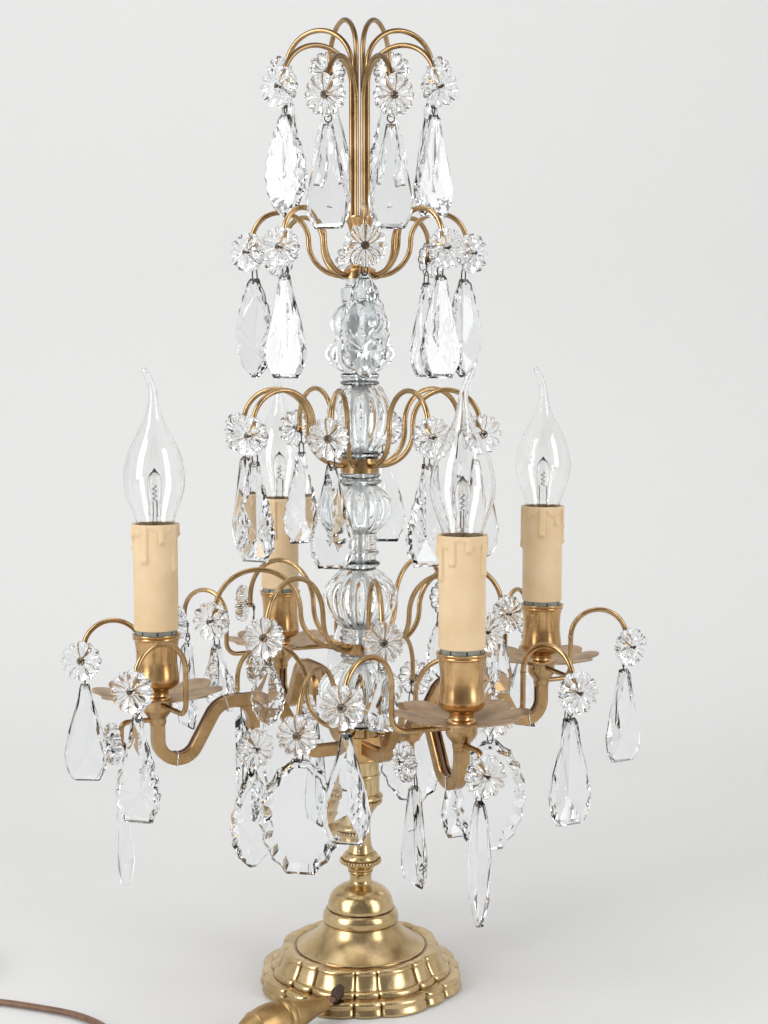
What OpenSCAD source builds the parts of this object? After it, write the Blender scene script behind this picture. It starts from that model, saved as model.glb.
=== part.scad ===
// Crystal girandole table lamp with four electric candles.
// Origin: centre of the foot on the table. +Z is up, +X to the right, +Y to the back.

/* [Foot] */
// Radius of the foot over its wide lobes
foot_r = 63; // [58:1:80]
// Height of the foot
foot_h = 23; // [20:0.5:30]
// Height of the upright rim band
rim_h = 9; // [8:0.5:10]
// Depth of the notches between the lobes
lobe_depth = 3; // [1:0.5:4]
// Radius of the seat for the stem
stem_seat_r = 38.6; // [34:0.2:44]
// Radius of the plate that closes the foot
cover_r = 50; // [44:1:52]
// Thickness of the plate that closes the foot
cover_t = 1.5; // [1:0.5:2]

/* [Column] */
// Height of the stem
stem_h = 116; // [100:0.5:150]
// Height of the hub
hub_h = 14; // [12:0.5:20]
// Distance of the hub's flats from the axis
hub_flat = 12; // [10:0.5:16]
// Diameter of the rod
rod_d = 7; // [5:0.5:8]
// Clearance between the rod and what it passes through
rod_gap = 0.3; // [0.2:0.05:0.5]
// Thickness of the hook ring on the hub
hook_ring_h = 5; // [4:0.5:8]
// Thickness of the lower tier ring
lower_ring_h = 6.6; // [4:0.2:9]
// Thickness of the middle tier ring
middle_ring_h = 8.4; // [4:0.2:10]
// Thickness of the upper tier ring
upper_ring_h = 4; // [4:0.2:8]
// Radius of the tier rings
ring_r = 11.5; // [10:0.5:14]
// Heights of the five glass pieces, from the lowest up
glass_h = [45.4, 44.4, 57.6, 46.6, 46]; // [30:0.1:80]
// Largest radius of each glass piece
glass_r = [26, 22.9, 20.2, 20, 21.5]; // [16:0.1:28]
// Radius of the necks of the glass pieces
glass_neck_r = 10.8; // [9:0.2:12]
// Height of the glass cap
cap_h = 13; // [8:0.5:20]
// Height of the crown vase
vase_h = 32.4; // [26:0.2:45]

/* [Wires] */
// Diameter of the brass wires
wire_d = 3; // [2:0.1:3.4]
// Distance of the tier wires' upright legs from the axis: lower, middle, upper
leg_r = [36, 32, 30]; // [26:0.5:44]
// Radius of the bend from the ring into the leg: lower, middle, upper
rise_r = [22, 20, 19.5]; // [10:0.5:24]
// Straight length of the leg: lower, middle, upper
leg_run = [0.5, 5, 0.5]; // [0.5:0.5:20]
// Radius of the arch over the top: lower, middle, upper
arch_r = [25.5, 20, 16.5]; // [12:0.5:30]
// Straight tail at the wire's end: lower, middle, upper
tail_run = [2.7, 4.2, 5.5]; // [2:0.1:12]
// Radius of the crown wires' arch
crown_arch_r = 21; // [14:0.5:26]
// Height of the crown arch over the vase
crown_rise = 102.6; // [80:0.2:130]
// How much higher the back of the crown stands than its middle
crown_lean = 16; // [0:1:20]
// Distance of the hooks' legs from the axis
hook_leg_r = 36; // [30:0.5:44]
// Radius of the hooks' arch
hook_arch_r = 24; // [16:0.5:28]

/* [Arms] */
// Distance of the candles from the axis
arm_reach = 127.4; // [115:0.2:150]
// Turn of the first arm from +X, in degrees
arm_turn = 25; // [0:1:44]
// Width and depth of the arm's channel bar
arm_w = 7; // [6:0.2:9]
// Wall of the channel
arm_wall = 1.6; // [1:0.1:2]
// Height of the arm's hump over its start at the hub
hump_rise = 35.5; // [28:0.5:46]
// Depth of the arm's trough under its hump
trough_drop = 30.5; // [26:0.5:40]
// Clearance of the lead in the channel
lead_gap = 0.3; // [0.1:0.05:0.5]

/* [Candles] */
// Height of the pan over the trough
pan_over_trough = 35; // [32:0.5:46]
// Radius of the drip pan
pan_r = 37; // [30:0.5:38]
// Thickness of the pan's sheet
pan_t = 0.8; // [0.6:0.1:1.5]
// Rise of the pan from its middle to its rim
pan_rise = 5.5; // [2:0.5:7]
// Height of the candle cup
cup_h = 37.6; // [30:0.2:45]
// Outer radius of the cup's rim
cup_rim_r = 13.5; // [13:0.1:15]
// Length of the candle sleeve
sleeve_h = 60; // [45:1:90]
// Outer radius of the candle sleeve
sleeve_r = 13.3; // [12.8:0.1:14.5]
// Radius of the bulb
bulb_r = 17.5; // [15:0.5:20]
// Height of the bulb over its sleeve, without its tail
bulb_rise = 74; // [60:1:90]
// Distance of the pan wires' legs from the candle's axis
pan_leg_r = 40; // [39:0.5:46]
// Radius of the pan wires' arch
pan_arch_r = 17; // [12:0.5:18]
// Height of the pan wires' arch over the pan
pan_arch_h = 42; // [36:0.5:55]

/* [Crystals] */
// Diameter of the rosettes
rosette_d = 24; // [16:0.5:26]
// Thickness of the rosettes
rosette_t = 7; // [4:0.5:9]
// Petals of a rosette
rosette_petals = 10; // [6:1:14]
// Width of the pear drops
drop_w = 26; // [16:0.5:27]
// Length of the pear drops
drop_l = 58; // [40:1:66]
// Thickness of the drops
drop_t = 10; // [6:0.5:11]
// Width of the small drops
small_w = 20; // [12:0.5:24]
// Length of the small drops
small_l = 36; // [26:1:44]
// Width of the plaques
plaque_w = 48; // [30:1:50]
// Length of the plaques
plaque_l = 66; // [40:1:70]
// Width of the daggers
dagger_w = 13; // [8:0.5:18]
// Length of the daggers
dagger_l = 68; // [50:1:80]

/* [Flex] */
// Diameter of the flex
cord_d = 4.4; // [3.5:0.1:5]
// Height of the flex's hole in the foot
cord_z = 13; // [12.8:0.1:13.4]
// Radius of the switch
switch_r = 12; // [10:0.5:12]
// Length of the switch
switch_l = 58; // [50:1:60]
// Diameter of the switch's push bar
bar_d = 5; // [4:0.5:7]
// Travel of the push bar
bar_travel = 5; // [3:0.5:6]
// Width of the plug
plug_w = 30; // [28:1:34]
// Length of the plug
plug_l = 34; // [30:1:40]

/* [Hidden] */
$fn = 48;

brass = "#b08a4e";
pan_brown = "#9c8468";
crystal = "#e8eef2";
wax = "#e6cfa3";
flex_brown = "#7a5a44";

// Heights along the column
wire_r = wire_d / 2;
rod_r = rod_d / 2;
bore_r = rod_r + rod_gap;
hub_z = foot_h + stem_h;
hook_z = hub_z + hub_h;
glass_z1 = hook_z + hook_ring_h;
lower_z = glass_z1 + glass_h[0];
glass_z2 = lower_z + lower_ring_h;
glass_z3 = glass_z2 + glass_h[1];
middle_z = glass_z3 + glass_h[2];
glass_z4 = middle_z + middle_ring_h;
glass_z5 = glass_z4 + glass_h[3];
cap_z = glass_z5 + glass_h[4];
upper_z = cap_z + cap_h;
vase_z = upper_z + upper_ring_h;
vase_top = vase_z + vase_h;

// Wire ends: a flat eye that the crystals' pins pass through
eye_r = 2.3;
eye_t = 1.8;
eye_hole_r = 0.9;
pin_r = 0.6;
tail_back = 2.2;
rosette_x = wire_r + 0.4;
link_drop = 9.5;
link_eye_r = 1.3;
link_wire_r = 0.45;
ring_big_r = 2.2;
ring_drop = 14.7;

// Directions and twists, chosen piece by piece
crown_az = 22.5;
crown_leg_r = 5;
crown_twist = [-60, 0, 0, 60, 40, 10, -10, -40];
upper_az = 2.5;
upper_twist = [-50, 0, 10, 0, 55, 20, 0, -20];
middle_az = 32;
middle_twist = [-30, 10, 0, 50, 35, 0, -10, -60];
lower_az = 8;
lower_twist = [-60, 0, 0, 30, 60, 25, 0, -30];
hook_az = [66, 156, 246, 336];
hook_twist = [0, 30, 15, -45];
hook_rise_r = 20;
hook_leg_run = 4.5;
hook_tail = 7;
spur_side = [-1, 1, 1, -1];
pan_root = [-95, 95];
pan_heading = [[-25, 35], [-35, 35], [-10, 20], [-70, 20]];
pan_twist = [[-60, 0], [0, 60], [70, 30], [30, -20]];

// Arm path in its own plane: up from the hub, over the hump, down and up to the candle
arm_z = hub_z + hub_h / 2;
arm_lean = 60;
arm_bend = [12, 14, 13.5, 12];
arm_start = 16;
arm_up = (hump_rise - (arm_bend[0] + arm_bend[1]) * (1 - cos(arm_lean))) / sin(arm_lean);
arm_down = (trough_drop - (arm_bend[2] + arm_bend[3]) * (1 - cos(arm_lean))) / sin(arm_lean);
arm_bends_x = (arm_bend[0] + arm_bend[1] + arm_bend[2] + arm_bend[3]) * sin(arm_lean) + arm_bend[3];
arm_top = arm_reach - hub_flat - arm_start - arm_bends_x - (arm_up + arm_down) * cos(arm_lean);
hump_z = arm_z + hump_rise;
hump_x = arm_reach - arm_bends_x + (arm_bend[0] + arm_bend[1]) * sin(arm_lean) - arm_down * cos(arm_lean);
trough_z = hump_z - trough_drop;
socket_h = 11;
socket_r = 8.5;
collar_h = wire_d + 0.4;
pan_z = trough_z + pan_over_trough;
socket_z = pan_z - collar_h - socket_h;
arm_rise = socket_z - trough_z - arm_bend[3];
arm_path = [
    ["run", arm_start],
    ["turn", arm_bend[0], arm_lean],
    ["run", arm_up],
    ["turn", arm_bend[1], -arm_lean],
    ["run", arm_top],
    ["turn", arm_bend[2], -arm_lean],
    ["run", arm_down],
    ["turn", arm_bend[3], 90 + arm_lean],
    ["run", arm_rise]
];
spur_run = 3.5;
spur_wire_r = 1.2;
spur_drop = 12;
spur_x = hump_x - arm_bend[2];
spur_end_z = hump_z - arm_bend[2] - spur_run;
lug_z = socket_z + socket_h * 0.3;
lug_reach = 14.5;
lug_bend = 4;
lug_tail = 6;
lug_tip_z = lug_z - lug_bend - lug_tail;

// Candle stack on the pan
stud_r = 3.6;
stud_gap = 0.3;
stud_l = 8;
cup_z = pan_z + pan_t;
cup_wall = 0.9;
cup_waist_r = cup_rim_r - 1.9;
cup_floor = 13;
holder_z = cup_z + cup_floor;
holder_r = cup_waist_r - cup_wall - 0.3;
holder_flange_h = 2.3;
sleeve_wall = 2.1;
sleeve_in_r = sleeve_r - sleeve_wall;
sleeve_z = cup_z + cup_h + 0.3 + holder_flange_h;
sleeve_top = sleeve_z + sleeve_h;
holder_top = sleeve_z + 35;
screw_r = 6.8;
screw_l = 22;
contact_gap = 0.3;

// Flex: where it leaves the foot and where it lies
cord_r = cord_d / 2;
cord_az = 256;
switch_az = 223;
band_r = 53;
bush_r = cord_r + 1.2;
bush_l = 12;
bush_gap = 0.3;
switch_start = [-26, -72];
switch_mid_z = switch_r;
floor_z = cord_r;
coil_mid = [-272, 4];
coil_r = 38;
coil_pitch = cord_d + 0.55;
coil_turns = 8.25;
coil_steps = 24;
tie_t = 0.8;
tie_gap = 0.4;
tie_w = 5;
tie_az = 40;
coil_z = cord_r + tie_t + tie_gap;
coil_top_z = coil_z + coil_pitch;
coil_in = (coil_turns - 0.5) / 2;
coil_dip = 1.2;

// Steps of a path: ["run", length] and ["turn", radius, degrees up or down]
module bent(steps, i = 0) {
    if (i < len(steps)) {
        s = steps[i];
        if (s[0] == "run") {
            rotate([90, 0, 90]) linear_extrude(height = s[1]) children();
            translate([s[1], 0, 0]) bent(steps, i + 1) children();
        }
        if (s[0] == "turn") {
            up = s[2] > 0;
            a = abs(s[2]);
            sense = up ? 1 : -1;
            mirror([0, 0, up ? 0 : 1])
                translate([0, 0, s[1]])
                    rotate([90, 90, 0])
                        rotate_extrude(angle = a)
                            translate([s[1], 0]) rotate(90) mirror([0, up ? 0 : 1]) children();
            translate([s[1] * sin(a), 0, sense * s[1] * (1 - cos(a))])
                rotate([0, -s[2], 0]) bent(steps, i + 1) children();
        }
    }
}

// Solid through rings of points, each ring listed counter-clockwise as seen from the last one;
// a closed one runs from its last ring back to its first and has a hole through it
module loft(rings, closed = false) {
    n = len(rings[0]);
    m = len(rings);
    sides = [
        for (k = [0:closed ? m - 1 : m - 2], i = [0:n - 1])
            let (j = (i + 1) % n, up = (k + 1) % m * n, a = k * n + i, b = k * n + j)
                each [[a, up + i, up + j], [a, up + j, b]]
    ];
    bottom = [for (i = [1:n - 2]) [0, i, i + 1]];
    last = (m - 1) * n;
    top = [for (i = [1:n - 2]) [last, last + i + 1, last + i]];
    polyhedron(points = [for (r = rings) each r], faces = closed ? sides : concat(sides, bottom, top));
}

module at_arm(k) {
    rotate(arm_turn + 90 * k) children();
}

module at_candle(k) {
    at_arm(k) translate([arm_reach, 0, 0]) children();
}

// Foot

function lobe_bulge(a) =
    let (wide = 29, s = a % 45, w = s < wide ? wide : 45 - wide, u = (s < wide ? s : s - wide) / w)
        (w == wide ? 1 : 0.6) * sin(180 * u);

function foot_ring(z, r, share) = [
    for (k = [0:7], a = [0, 5, 14.5, 24, 29, 33, 37, 41])
        let (t = 45 * k + a, rr = r - lobe_depth * share * (1 - lobe_bulge(t)))
            [rr * cos(t + 12), rr * sin(t + 12), z]
];

module foot_outer() {
    step_r = foot_r - 9;
    band_h = foot_h - rim_h;
    lip_r = max(step_r - 8.2, stem_seat_r + 5);
    loft([
        foot_ring(0, foot_r - 1.2, 1),
        foot_ring(1.2, foot_r, 1),
        foot_ring(rim_h - 1.5, foot_r - 0.8, 1),
        foot_ring(rim_h, foot_r - 2.5, 1),
        foot_ring(rim_h + 0.01, step_r + 0.6, 0.7),
        foot_ring(rim_h + band_h * 0.18, step_r - 1.6, 0.7),
        foot_ring(rim_h + band_h * 0.36, step_r - 2.2, 0.7),
        foot_ring(rim_h + band_h * 0.71, lip_r + 3.2, 0.7),
        foot_ring(rim_h + band_h * 0.9, lip_r + 2, 0.6),
        foot_ring(foot_h, lip_r, 0.5),
        foot_ring(foot_h - 1, stem_seat_r + 2.2, 0.1),
        foot_ring(foot_h, stem_seat_r + 0.8, 0)
    ]);
}

module foot() {
    ceiling = foot_h - 5.5;
    color(brass) difference() {
        foot_outer();
        translate([0, 0, -1]) cylinder(r = cover_r + 0.2, h = cover_t + 1);
        cylinder(r = cover_r - 4, h = rim_h - 2);
        cylinder(r = stem_seat_r, h = ceiling);
        cylinder(r = bore_r, h = foot_h + 1);
        rotate(cord_az) translate([stem_seat_r - 2, 0, cord_z]) rotate([0, 90, 0])
            cylinder(r = bush_r, h = foot_r);
    }
}

module base_cover() {
    color("#3a3a3a") cylinder(r = cover_r, h = cover_t);
}

// Column

module stem() {
    k = stem_h / 116;
    profile = [
        [stem_seat_r, 0], [35, 1.8], [28.4, 6.6], [23.8, 11], [22.2, 14.4], [22.7, 15.6], [22.7, 19], [20.8, 22.6],
        [20.2, 24], [19.6, 26.5], [17.6, 31.5], [14.6, 34.6], [8.6, 37.4], [7, 44.4], [7.8, 47.4], [9.8, 49.4],
        [12.6, 50.6], [12.6, 53], [9.8, 55.6], [7.2, 60.5], [6.5, 72], [6.6, 77.5], [9.6, 82.6], [12.2, 87],
        [13.8, 90], [13.8, 92.2], [11.6, 94.4], [11.4, 104.6], [12, 105.6], [11.2, 107.4], [11.2, 114.5], [12.5, 116]
    ];
    color(brass) translate([0, 0, foot_h]) difference() {
        rotate_extrude() polygon(concat([[0, 0]], [for (p = profile) [p[0], p[1] * k]], [[0, stem_h]]));
        translate([0, 0, -1]) cylinder(r = bore_r, h = stem_h + 2);
    }
}

module hub() {
    color(brass) translate([0, 0, hub_z]) difference() {
        intersection() {
            cylinder(r = hub_flat + 1, h = hub_h);
            rotate(arm_turn) translate([-hub_flat, -hub_flat, 0]) cube([2 * hub_flat, 2 * hub_flat, hub_h]);
        }
        translate([0, 0, -1]) cylinder(r = bore_r, h = hub_h + 2);
    }
}

module column_rod() {
    nut_h = 5;
    ceiling = foot_h - 5.5;
    color("#b8bcc0") {
        translate([0, 0, ceiling - nut_h - 2]) cylinder(r = rod_r, h = vase_z + vase_h * 0.45 - ceiling + nut_h + 2);
        translate([0, 0, ceiling - nut_h]) cylinder(r = 8, h = nut_h, $fn = 6);
    }
}

function glass_outline(h, low_r, big_r, big_at, top_r) = concat(
    [for (i = [0:6]) let (t = i / 6) [low_r + (big_r - low_r) * sin(90 * t), h * big_at * t]],
    [for (i = [1:6]) let (t = i / 6) [top_r + (big_r - top_r) * cos(90 * t), h * (big_at + (1 - big_at) * t)]]
);

module glass_piece(z, h, low_r, big_r, big_at, top_r) {
    color(crystal, 0.5) translate([0, 0, z]) difference() {
        rotate_extrude() polygon(concat([[0, 0]], glass_outline(h, low_r, big_r, big_at, top_r), [[0, h]]));
        translate([0, 0, -1]) cylinder(r = bore_r, h = h + 2);
    }
}

module glass_1() {
    glass_piece(glass_z1, glass_h[0], glass_neck_r - 2, glass_r[0], 0.53, glass_neck_r);
}

module glass_2() {
    glass_piece(glass_z2, glass_h[1], glass_neck_r, glass_r[1], 0.59, glass_neck_r);
}

module glass_3() {
    glass_piece(glass_z3, glass_h[2], glass_neck_r, glass_r[2], 0.53, glass_neck_r);
}

module glass_4() {
    glass_piece(glass_z4, glass_h[3], glass_neck_r, glass_r[3], 0.57, glass_neck_r);
}

module glass_5() {
    glass_piece(glass_z5, glass_h[4], glass_neck_r, glass_r[4], 0.38, glass_neck_r);
}

module glass_cap() {
    glass_piece(cap_z, cap_h, glass_neck_r, glass_neck_r + 0.7, 0.3, glass_neck_r - 3);
}

// Wires: the end eye stands in the plane across the wire's last bend, turned by the crystal's twist

module wire_eye(twist) {
    rotate(twist) rotate([0, 90, 0]) difference() {
        translate([0, 0, -eye_t / 2]) cylinder(r = eye_r, h = eye_t);
        translate([0, 0, -eye_t]) cylinder(r = eye_hole_r, h = 2 * eye_t);
    }
}

// Clear way for a pin through a wire's end eye
module eye_bore(twist) {
    rotate(twist) rotate([0, 90, 0]) cylinder(r = eye_hole_r, h = 3 * eye_t, center = true);
}

function leg_path(start, leg, rise, run, arch, tail) = [
    ["run", leg - rise - start],
    ["turn", rise, 90],
    ["run", run],
    ["turn", arch, -180],
    ["run", tail]
];

// Where a tier wire ends: [distance from the axis, height over the ring's middle]
function leg_tip(leg, rise, run, arch, tail) = [leg + 2 * arch, rise + run - tail - eye_r + 0.8];

module wire_with_eye(path, tip, twist) {
    difference() {
        union() {
            bent(path) circle(r = wire_r);
            translate(tip) wire_eye(twist);
        }
        translate(tip) eye_bore(twist);
    }
}

module tier(z, h, az, twists, leg, rise, run, arch, tail) {
    start = ring_r - 3;
    tip = leg_tip(leg, rise, run, arch, tail);
    color(brass) difference() {
        union() {
            translate([0, 0, z]) cylinder(r = ring_r, h = h);
            for (k = [0:7])
                rotate(az + 45 * k) translate([start, 0, z + h / 2])
                    wire_with_eye(leg_path(start, leg, rise, run, arch, tail), [tip[0] - start, 0, tip[1]], twists[k]);
        }
        translate([0, 0, z - 1]) cylinder(r = bore_r, h = h + 2);
    }
}

module lower_tier() {
    tier(lower_z, lower_ring_h, lower_az, lower_twist, leg_r[0], rise_r[0], leg_run[0], arch_r[0], tail_run[0]);
}

module middle_tier() {
    tier(middle_z, middle_ring_h, middle_az, middle_twist, leg_r[1], rise_r[1], leg_run[1], arch_r[1], tail_run[1]);
}

module upper_tier() {
    tier(upper_z, upper_ring_h, upper_az, upper_twist, leg_r[2], rise_r[2], leg_run[2], arch_r[2], tail_run[2]);
}

hook_tip = leg_tip(hook_leg_r, hook_rise_r, hook_leg_run, hook_arch_r, hook_tail);
hook_mid_z = hook_z + hook_ring_h / 2;

module hub_hooks() {
    start = ring_r - 3;
    path = leg_path(start, hook_leg_r, hook_rise_r, hook_leg_run, hook_arch_r, hook_tail);
    color(brass) difference() {
        union() {
            translate([0, 0, hook_z]) cylinder(r = ring_r, h = hook_ring_h);
            for (k = [0:3])
                rotate(hook_az[k]) translate([start, 0, hook_mid_z])
                    wire_with_eye(path, [hook_tip[0] - start, 0, hook_tip[1]], hook_twist[k]);
        }
        translate([0, 0, hook_z - 1]) cylinder(r = bore_r, h = hook_ring_h + 2);
    }
}

module crown_vase() {
    k = vase_h / 32.4;
    lip_r = crown_leg_r + wire_r + 2.3;
    profile = [
        [9.5, 0], [9.5, 2], [5.2, 4], [5, 7], [6.6, 9], [6.6, 12.5], [5.4, 14], [7.8, 18], [6.2, 23],
        [lip_r - 1.4, 25], [lip_r - 1, 31], [lip_r, 31.4], [lip_r, 32.4]
    ];
    color(brass) translate([0, 0, vase_z]) difference() {
        rotate_extrude() polygon(concat([[0, 0]], [for (p = profile) [p[0], p[1] * k]], [[0, vase_h]]));
        translate([0, 0, -1]) cylinder(r = bore_r, h = vase_h * 0.5 + 1);
        translate([0, 0, vase_h - 6]) cylinder(r = crown_leg_r + wire_r + 0.3, h = 7);
    }
}

crown_foot_z = vase_top - 6;
crown_tail = 3;
function crown_peak(k) = vase_top + crown_rise + crown_lean * sin(crown_az + 45 * k);
function crown_leg_h(k) = crown_peak(k) - crown_arch_r - crown_foot_z;
function crown_tip(k) = [crown_leg_r + 2 * crown_arch_r, 0, crown_peak(k) - crown_arch_r - crown_tail - eye_r + 0.8];

module crown_wires() {
    color(brass) for (k = [0:7])
        rotate(crown_az + 45 * k) difference() {
            union() {
                translate([crown_leg_r, 0, crown_foot_z]) rotate([0, -90, 0])
                    bent([["run", crown_leg_h(k)], ["turn", crown_arch_r, -180], ["run", crown_tail]])
                        circle(r = wire_r);
                translate(crown_tip(k)) wire_eye(crown_twist[k]);
            }
            translate(crown_tip(k)) eye_bore(crown_twist[k]);
        }
}

// Arms

// Points along a path in its plane, as [distance, height, heading]
function trace(steps, at, i = 0) =
    i == len(steps) ? [at] :
    let (s = steps[i], x = at[0], z = at[1], h = at[2])
        s[0] == "run" ?
            concat([at], trace(steps, [x + s[1] * cos(h), z + s[1] * sin(h), h], i + 1)) :
            let (
                n = ceil(abs(s[2]) / bend_step),
                r = s[1] * sign(s[2]),
                bend = [for (k = [0:n])
                    let (a = h + s[2] * k / n) [x + r * (sin(a) - sin(h)), z + r * (cos(h) - cos(a)), a]]
            )
                concat([for (k = [0:n - 1]) bend[k]], trace(steps, bend[n], i + 1));

// Flat bar along traced points, from one height over the path to another
module bar_along(points, low, high, w) {
    last = len(points) - 1;
    translate([0, w / 2, 0]) rotate([90, 0, 0]) linear_extrude(height = w) polygon(concat(
        [for (p = points) [p[0] - low * sin(p[2]), p[1] + low * cos(p[2])]],
        [for (i = [last:-1:0]) let (p = points[i]) [p[0] - high * sin(p[2]), p[1] + high * cos(p[2])]]
    ));
}

bend_step = 7.5;
arm_points = trace(arm_path, [hub_flat, arm_z, 0]);
groove_path = concat([["run", 1]], arm_path, [["run", 0.5]]);
groove_points = trace(groove_path, [hub_flat - 1, arm_z, 0]);
groove_w = arm_w - 2 * arm_wall;
groove_low = arm_wall - arm_w / 2;
spur_path = [["run", 2], ["turn", arm_bend[2], 90], ["run", spur_run]];
spur_points = trace(spur_path, [hump_x + 2, hump_z, 180]);

lug_tip_x = arm_reach + 3 + lug_reach + lug_bend;

module candle_arm(k) {
    difference() {
        union() {
            bar_along(arm_points, -arm_w / 2, arm_w / 2, arm_w);
            bar_along(spur_points, -arm_w / 2, arm_w / 2 - 0.4, arm_w - 0.8);
            translate([spur_x, 0, spur_end_z - spur_drop + eye_r - 0.8]) cylinder(r = spur_wire_r, h = spur_drop - eye_r + 1.3);
            translate([spur_x, 0, spur_end_z - spur_drop]) wire_eye(90 * spur_side[k]);
            translate([arm_reach, 0, socket_z])
                rotate_extrude() polygon([[0, 0], [4.6, 0], [5.2, 4], [socket_r, 8], [socket_r, socket_h], [0, socket_h]]);
            translate([arm_reach + 3, 0, lug_z])
                bent([["run", lug_reach], ["turn", lug_bend, -90], ["run", lug_tail]]) circle(r = wire_r);
            translate([lug_tip_x, 0, lug_tip_z - eye_r + 0.8]) wire_eye(0);
        }
        bar_along(groove_points, groove_low, arm_w, groove_w);
        translate([arm_reach, 0, socket_z + socket_h - stud_l]) cylinder(r = stud_r + stud_gap, h = stud_l + 1);
        translate([spur_x, 0, spur_end_z - spur_drop]) eye_bore(90);
        translate([lug_tip_x, 0, lug_tip_z - eye_r + 0.8]) eye_bore(0);
    }
}

module candle_arms() {
    color(brass) for (k = [0:3]) at_arm(k) candle_arm(k);
}

module arm_leads() {
    color(flex_brown) for (k = [0:3])
        at_arm(k) bar_along(arm_points, groove_low + 0.1, arm_w / 2 + 0.4, groove_w - 2 * lead_gap);
}

// Pan wires, pans and candles

pan_rise_r = 8;
pan_wire_z = pan_z - collar_h / 2;
pan_leg_run = pan_z + pan_arch_h - pan_arch_r - wire_r - pan_rise_r - pan_wire_z;
pan_tail = 4;
pan_tip_z = pan_wire_z + pan_rise_r + pan_leg_run - pan_tail - eye_r + 0.8;

// Where pan wire j of arm k ends, seen from the candle's axis
function pan_tip(k, j) =
    let (a = pan_root[j], b = pan_heading[k][j])
        [pan_leg_r * cos(a) + 2 * pan_arch_r * cos(b), pan_leg_r * sin(a) + 2 * pan_arch_r * sin(b), pan_tip_z];

module pan_wire(k, j) {
    start = socket_r - 3;
    path = [
        ["run", pan_leg_r - pan_rise_r - start],
        ["turn", pan_rise_r, 90],
        ["run", pan_leg_run - 0.3]
    ];
    knuckle = [pan_leg_r * cos(pan_root[j]), pan_leg_r * sin(pan_root[j]), pan_wire_z + pan_rise_r + pan_leg_run];
    difference() {
        union() {
            rotate(pan_root[j]) translate([start, 0, pan_wire_z]) bent(path) circle(r = wire_r);
            translate(knuckle) sphere(r = wire_r + 0.2);
            translate(knuckle) rotate(pan_heading[k][j]) rotate([0, -90, 0])
                bent([["turn", pan_arch_r, -180], ["run", pan_tail]]) circle(r = wire_r);
            translate(pan_tip(k, j)) rotate(pan_heading[k][j]) wire_eye(pan_twist[k][j]);
        }
        translate(pan_tip(k, j)) rotate(pan_heading[k][j]) eye_bore(pan_twist[k][j]);
    }
}

module pan_wires() {
    color(brass) for (k = [0:3]) at_candle(k) difference() {
        union() {
            translate([0, 0, pan_z - collar_h]) cylinder(r = socket_r, h = collar_h);
            for (j = [0, 1]) pan_wire(k, j);
        }
        translate([0, 0, pan_z - collar_h - 1]) cylinder(r = stud_r + stud_gap, h = collar_h + 2);
    }
}

// Ring of the pan at a share of the way from its middle part to its petals' edge
function pan_ring(r, z, share) =
    let (notch = 0.71 * pan_r)
        [for (k = [0:7], a = [0, 5, 13, 22.5, 32, 40])
            let (
                edge = notch + (pan_r - notch) * pow(sin(4 * a), 0.5),
                rr = r + (edge - r) * share,
                t = 45 * k + a
            )
                [rr * cos(t), rr * sin(t), z + share * pan_rise * 0.45 * (edge - r) / (pan_r - r)]];

module drip_pan() {
    hole_r = stud_r + stud_gap;
    flat_r = socket_r + 0.5;
    bend_r = pan_r * 0.66;
    bend_z = pan_rise * 0.55;
    loft([
        pan_ring(hole_r, 0, 0),
        pan_ring(flat_r, 0, 0),
        pan_ring(bend_r, bend_z, 0),
        pan_ring(bend_r, bend_z, 1),
        pan_ring(bend_r, bend_z + pan_t, 1),
        pan_ring(bend_r, bend_z + pan_t, 0),
        pan_ring(flat_r, pan_t, 0),
        pan_ring(hole_r, pan_t, 0)
    ], closed = true);
}

module drip_pans() {
    color(pan_brown) for (k = [0:3]) at_candle(k) translate([0, 0, pan_z]) drip_pan();
}

module candle_cup() {
    profile = [
        [socket_r - 0.5, 0], [socket_r - 0.5, 1.2], [6.5, 2.5], [6.5, 5.5], [10.5, 7.4], [cup_waist_r + 0.9, 11],
        [cup_waist_r + 0.6, 15], [cup_waist_r, 22], [cup_rim_r - 0.8, cup_h - 4], [cup_rim_r, cup_h - 2.6],
        [cup_rim_r - 0.4, cup_h - 1.2], [cup_rim_r, cup_h]
    ];
    difference() {
        union() {
            rotate_extrude() polygon(concat([[0, 0]], profile, [[0, cup_h]]));
            translate([0, 0, -stud_l]) cylinder(r = stud_r, h = stud_l + 1);
        }
        translate([0, 0, cup_floor]) cylinder(r = cup_waist_r - cup_wall, h = cup_h);
    }
}

module candle_cups() {
    color(brass) for (k = [0:3]) at_candle(k) translate([0, 0, cup_z]) candle_cup();
}

module lamp_holders() {
    seat = holder_top - screw_l;
    color("#8e908a") for (k = [0:3]) at_candle(k) difference() {
        union() {
            translate([0, 0, holder_z]) cylinder(r = holder_r, h = holder_top - holder_z);
            translate([0, 0, sleeve_z - holder_flange_h]) cylinder(r = sleeve_in_r + 0.6, h = holder_flange_h);
        }
        translate([0, 0, seat]) cylinder(r = screw_r + 0.4, h = screw_l + 1);
    }
}

module candle_sleeves() {
    color(wax) for (k = [0:3]) at_candle(k) translate([0, 0, sleeve_z]) difference() {
        cylinder(r = sleeve_r, h = sleeve_h);
        translate([0, 0, -1]) cylinder(r = sleeve_in_r, h = sleeve_h + 2);
    }
}

// Direction of each bulb's bent tail, and how deep its root sits in the bulb
bulb_tail_az = [180, 200, 180, 0];
tail_root = 1;

function bulb_tail_ring(t) =
    let (r = 4.4 * (1 - t) + 0.9 * t, lean = 40 * t)
        [for (i = [0:7]) let (a = 45 * i) [
            6 * t * t + r * cos(a) * cos(lean),
            r * sin(a),
            13 * t - r * cos(a) * sin(lean)
        ]];

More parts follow.
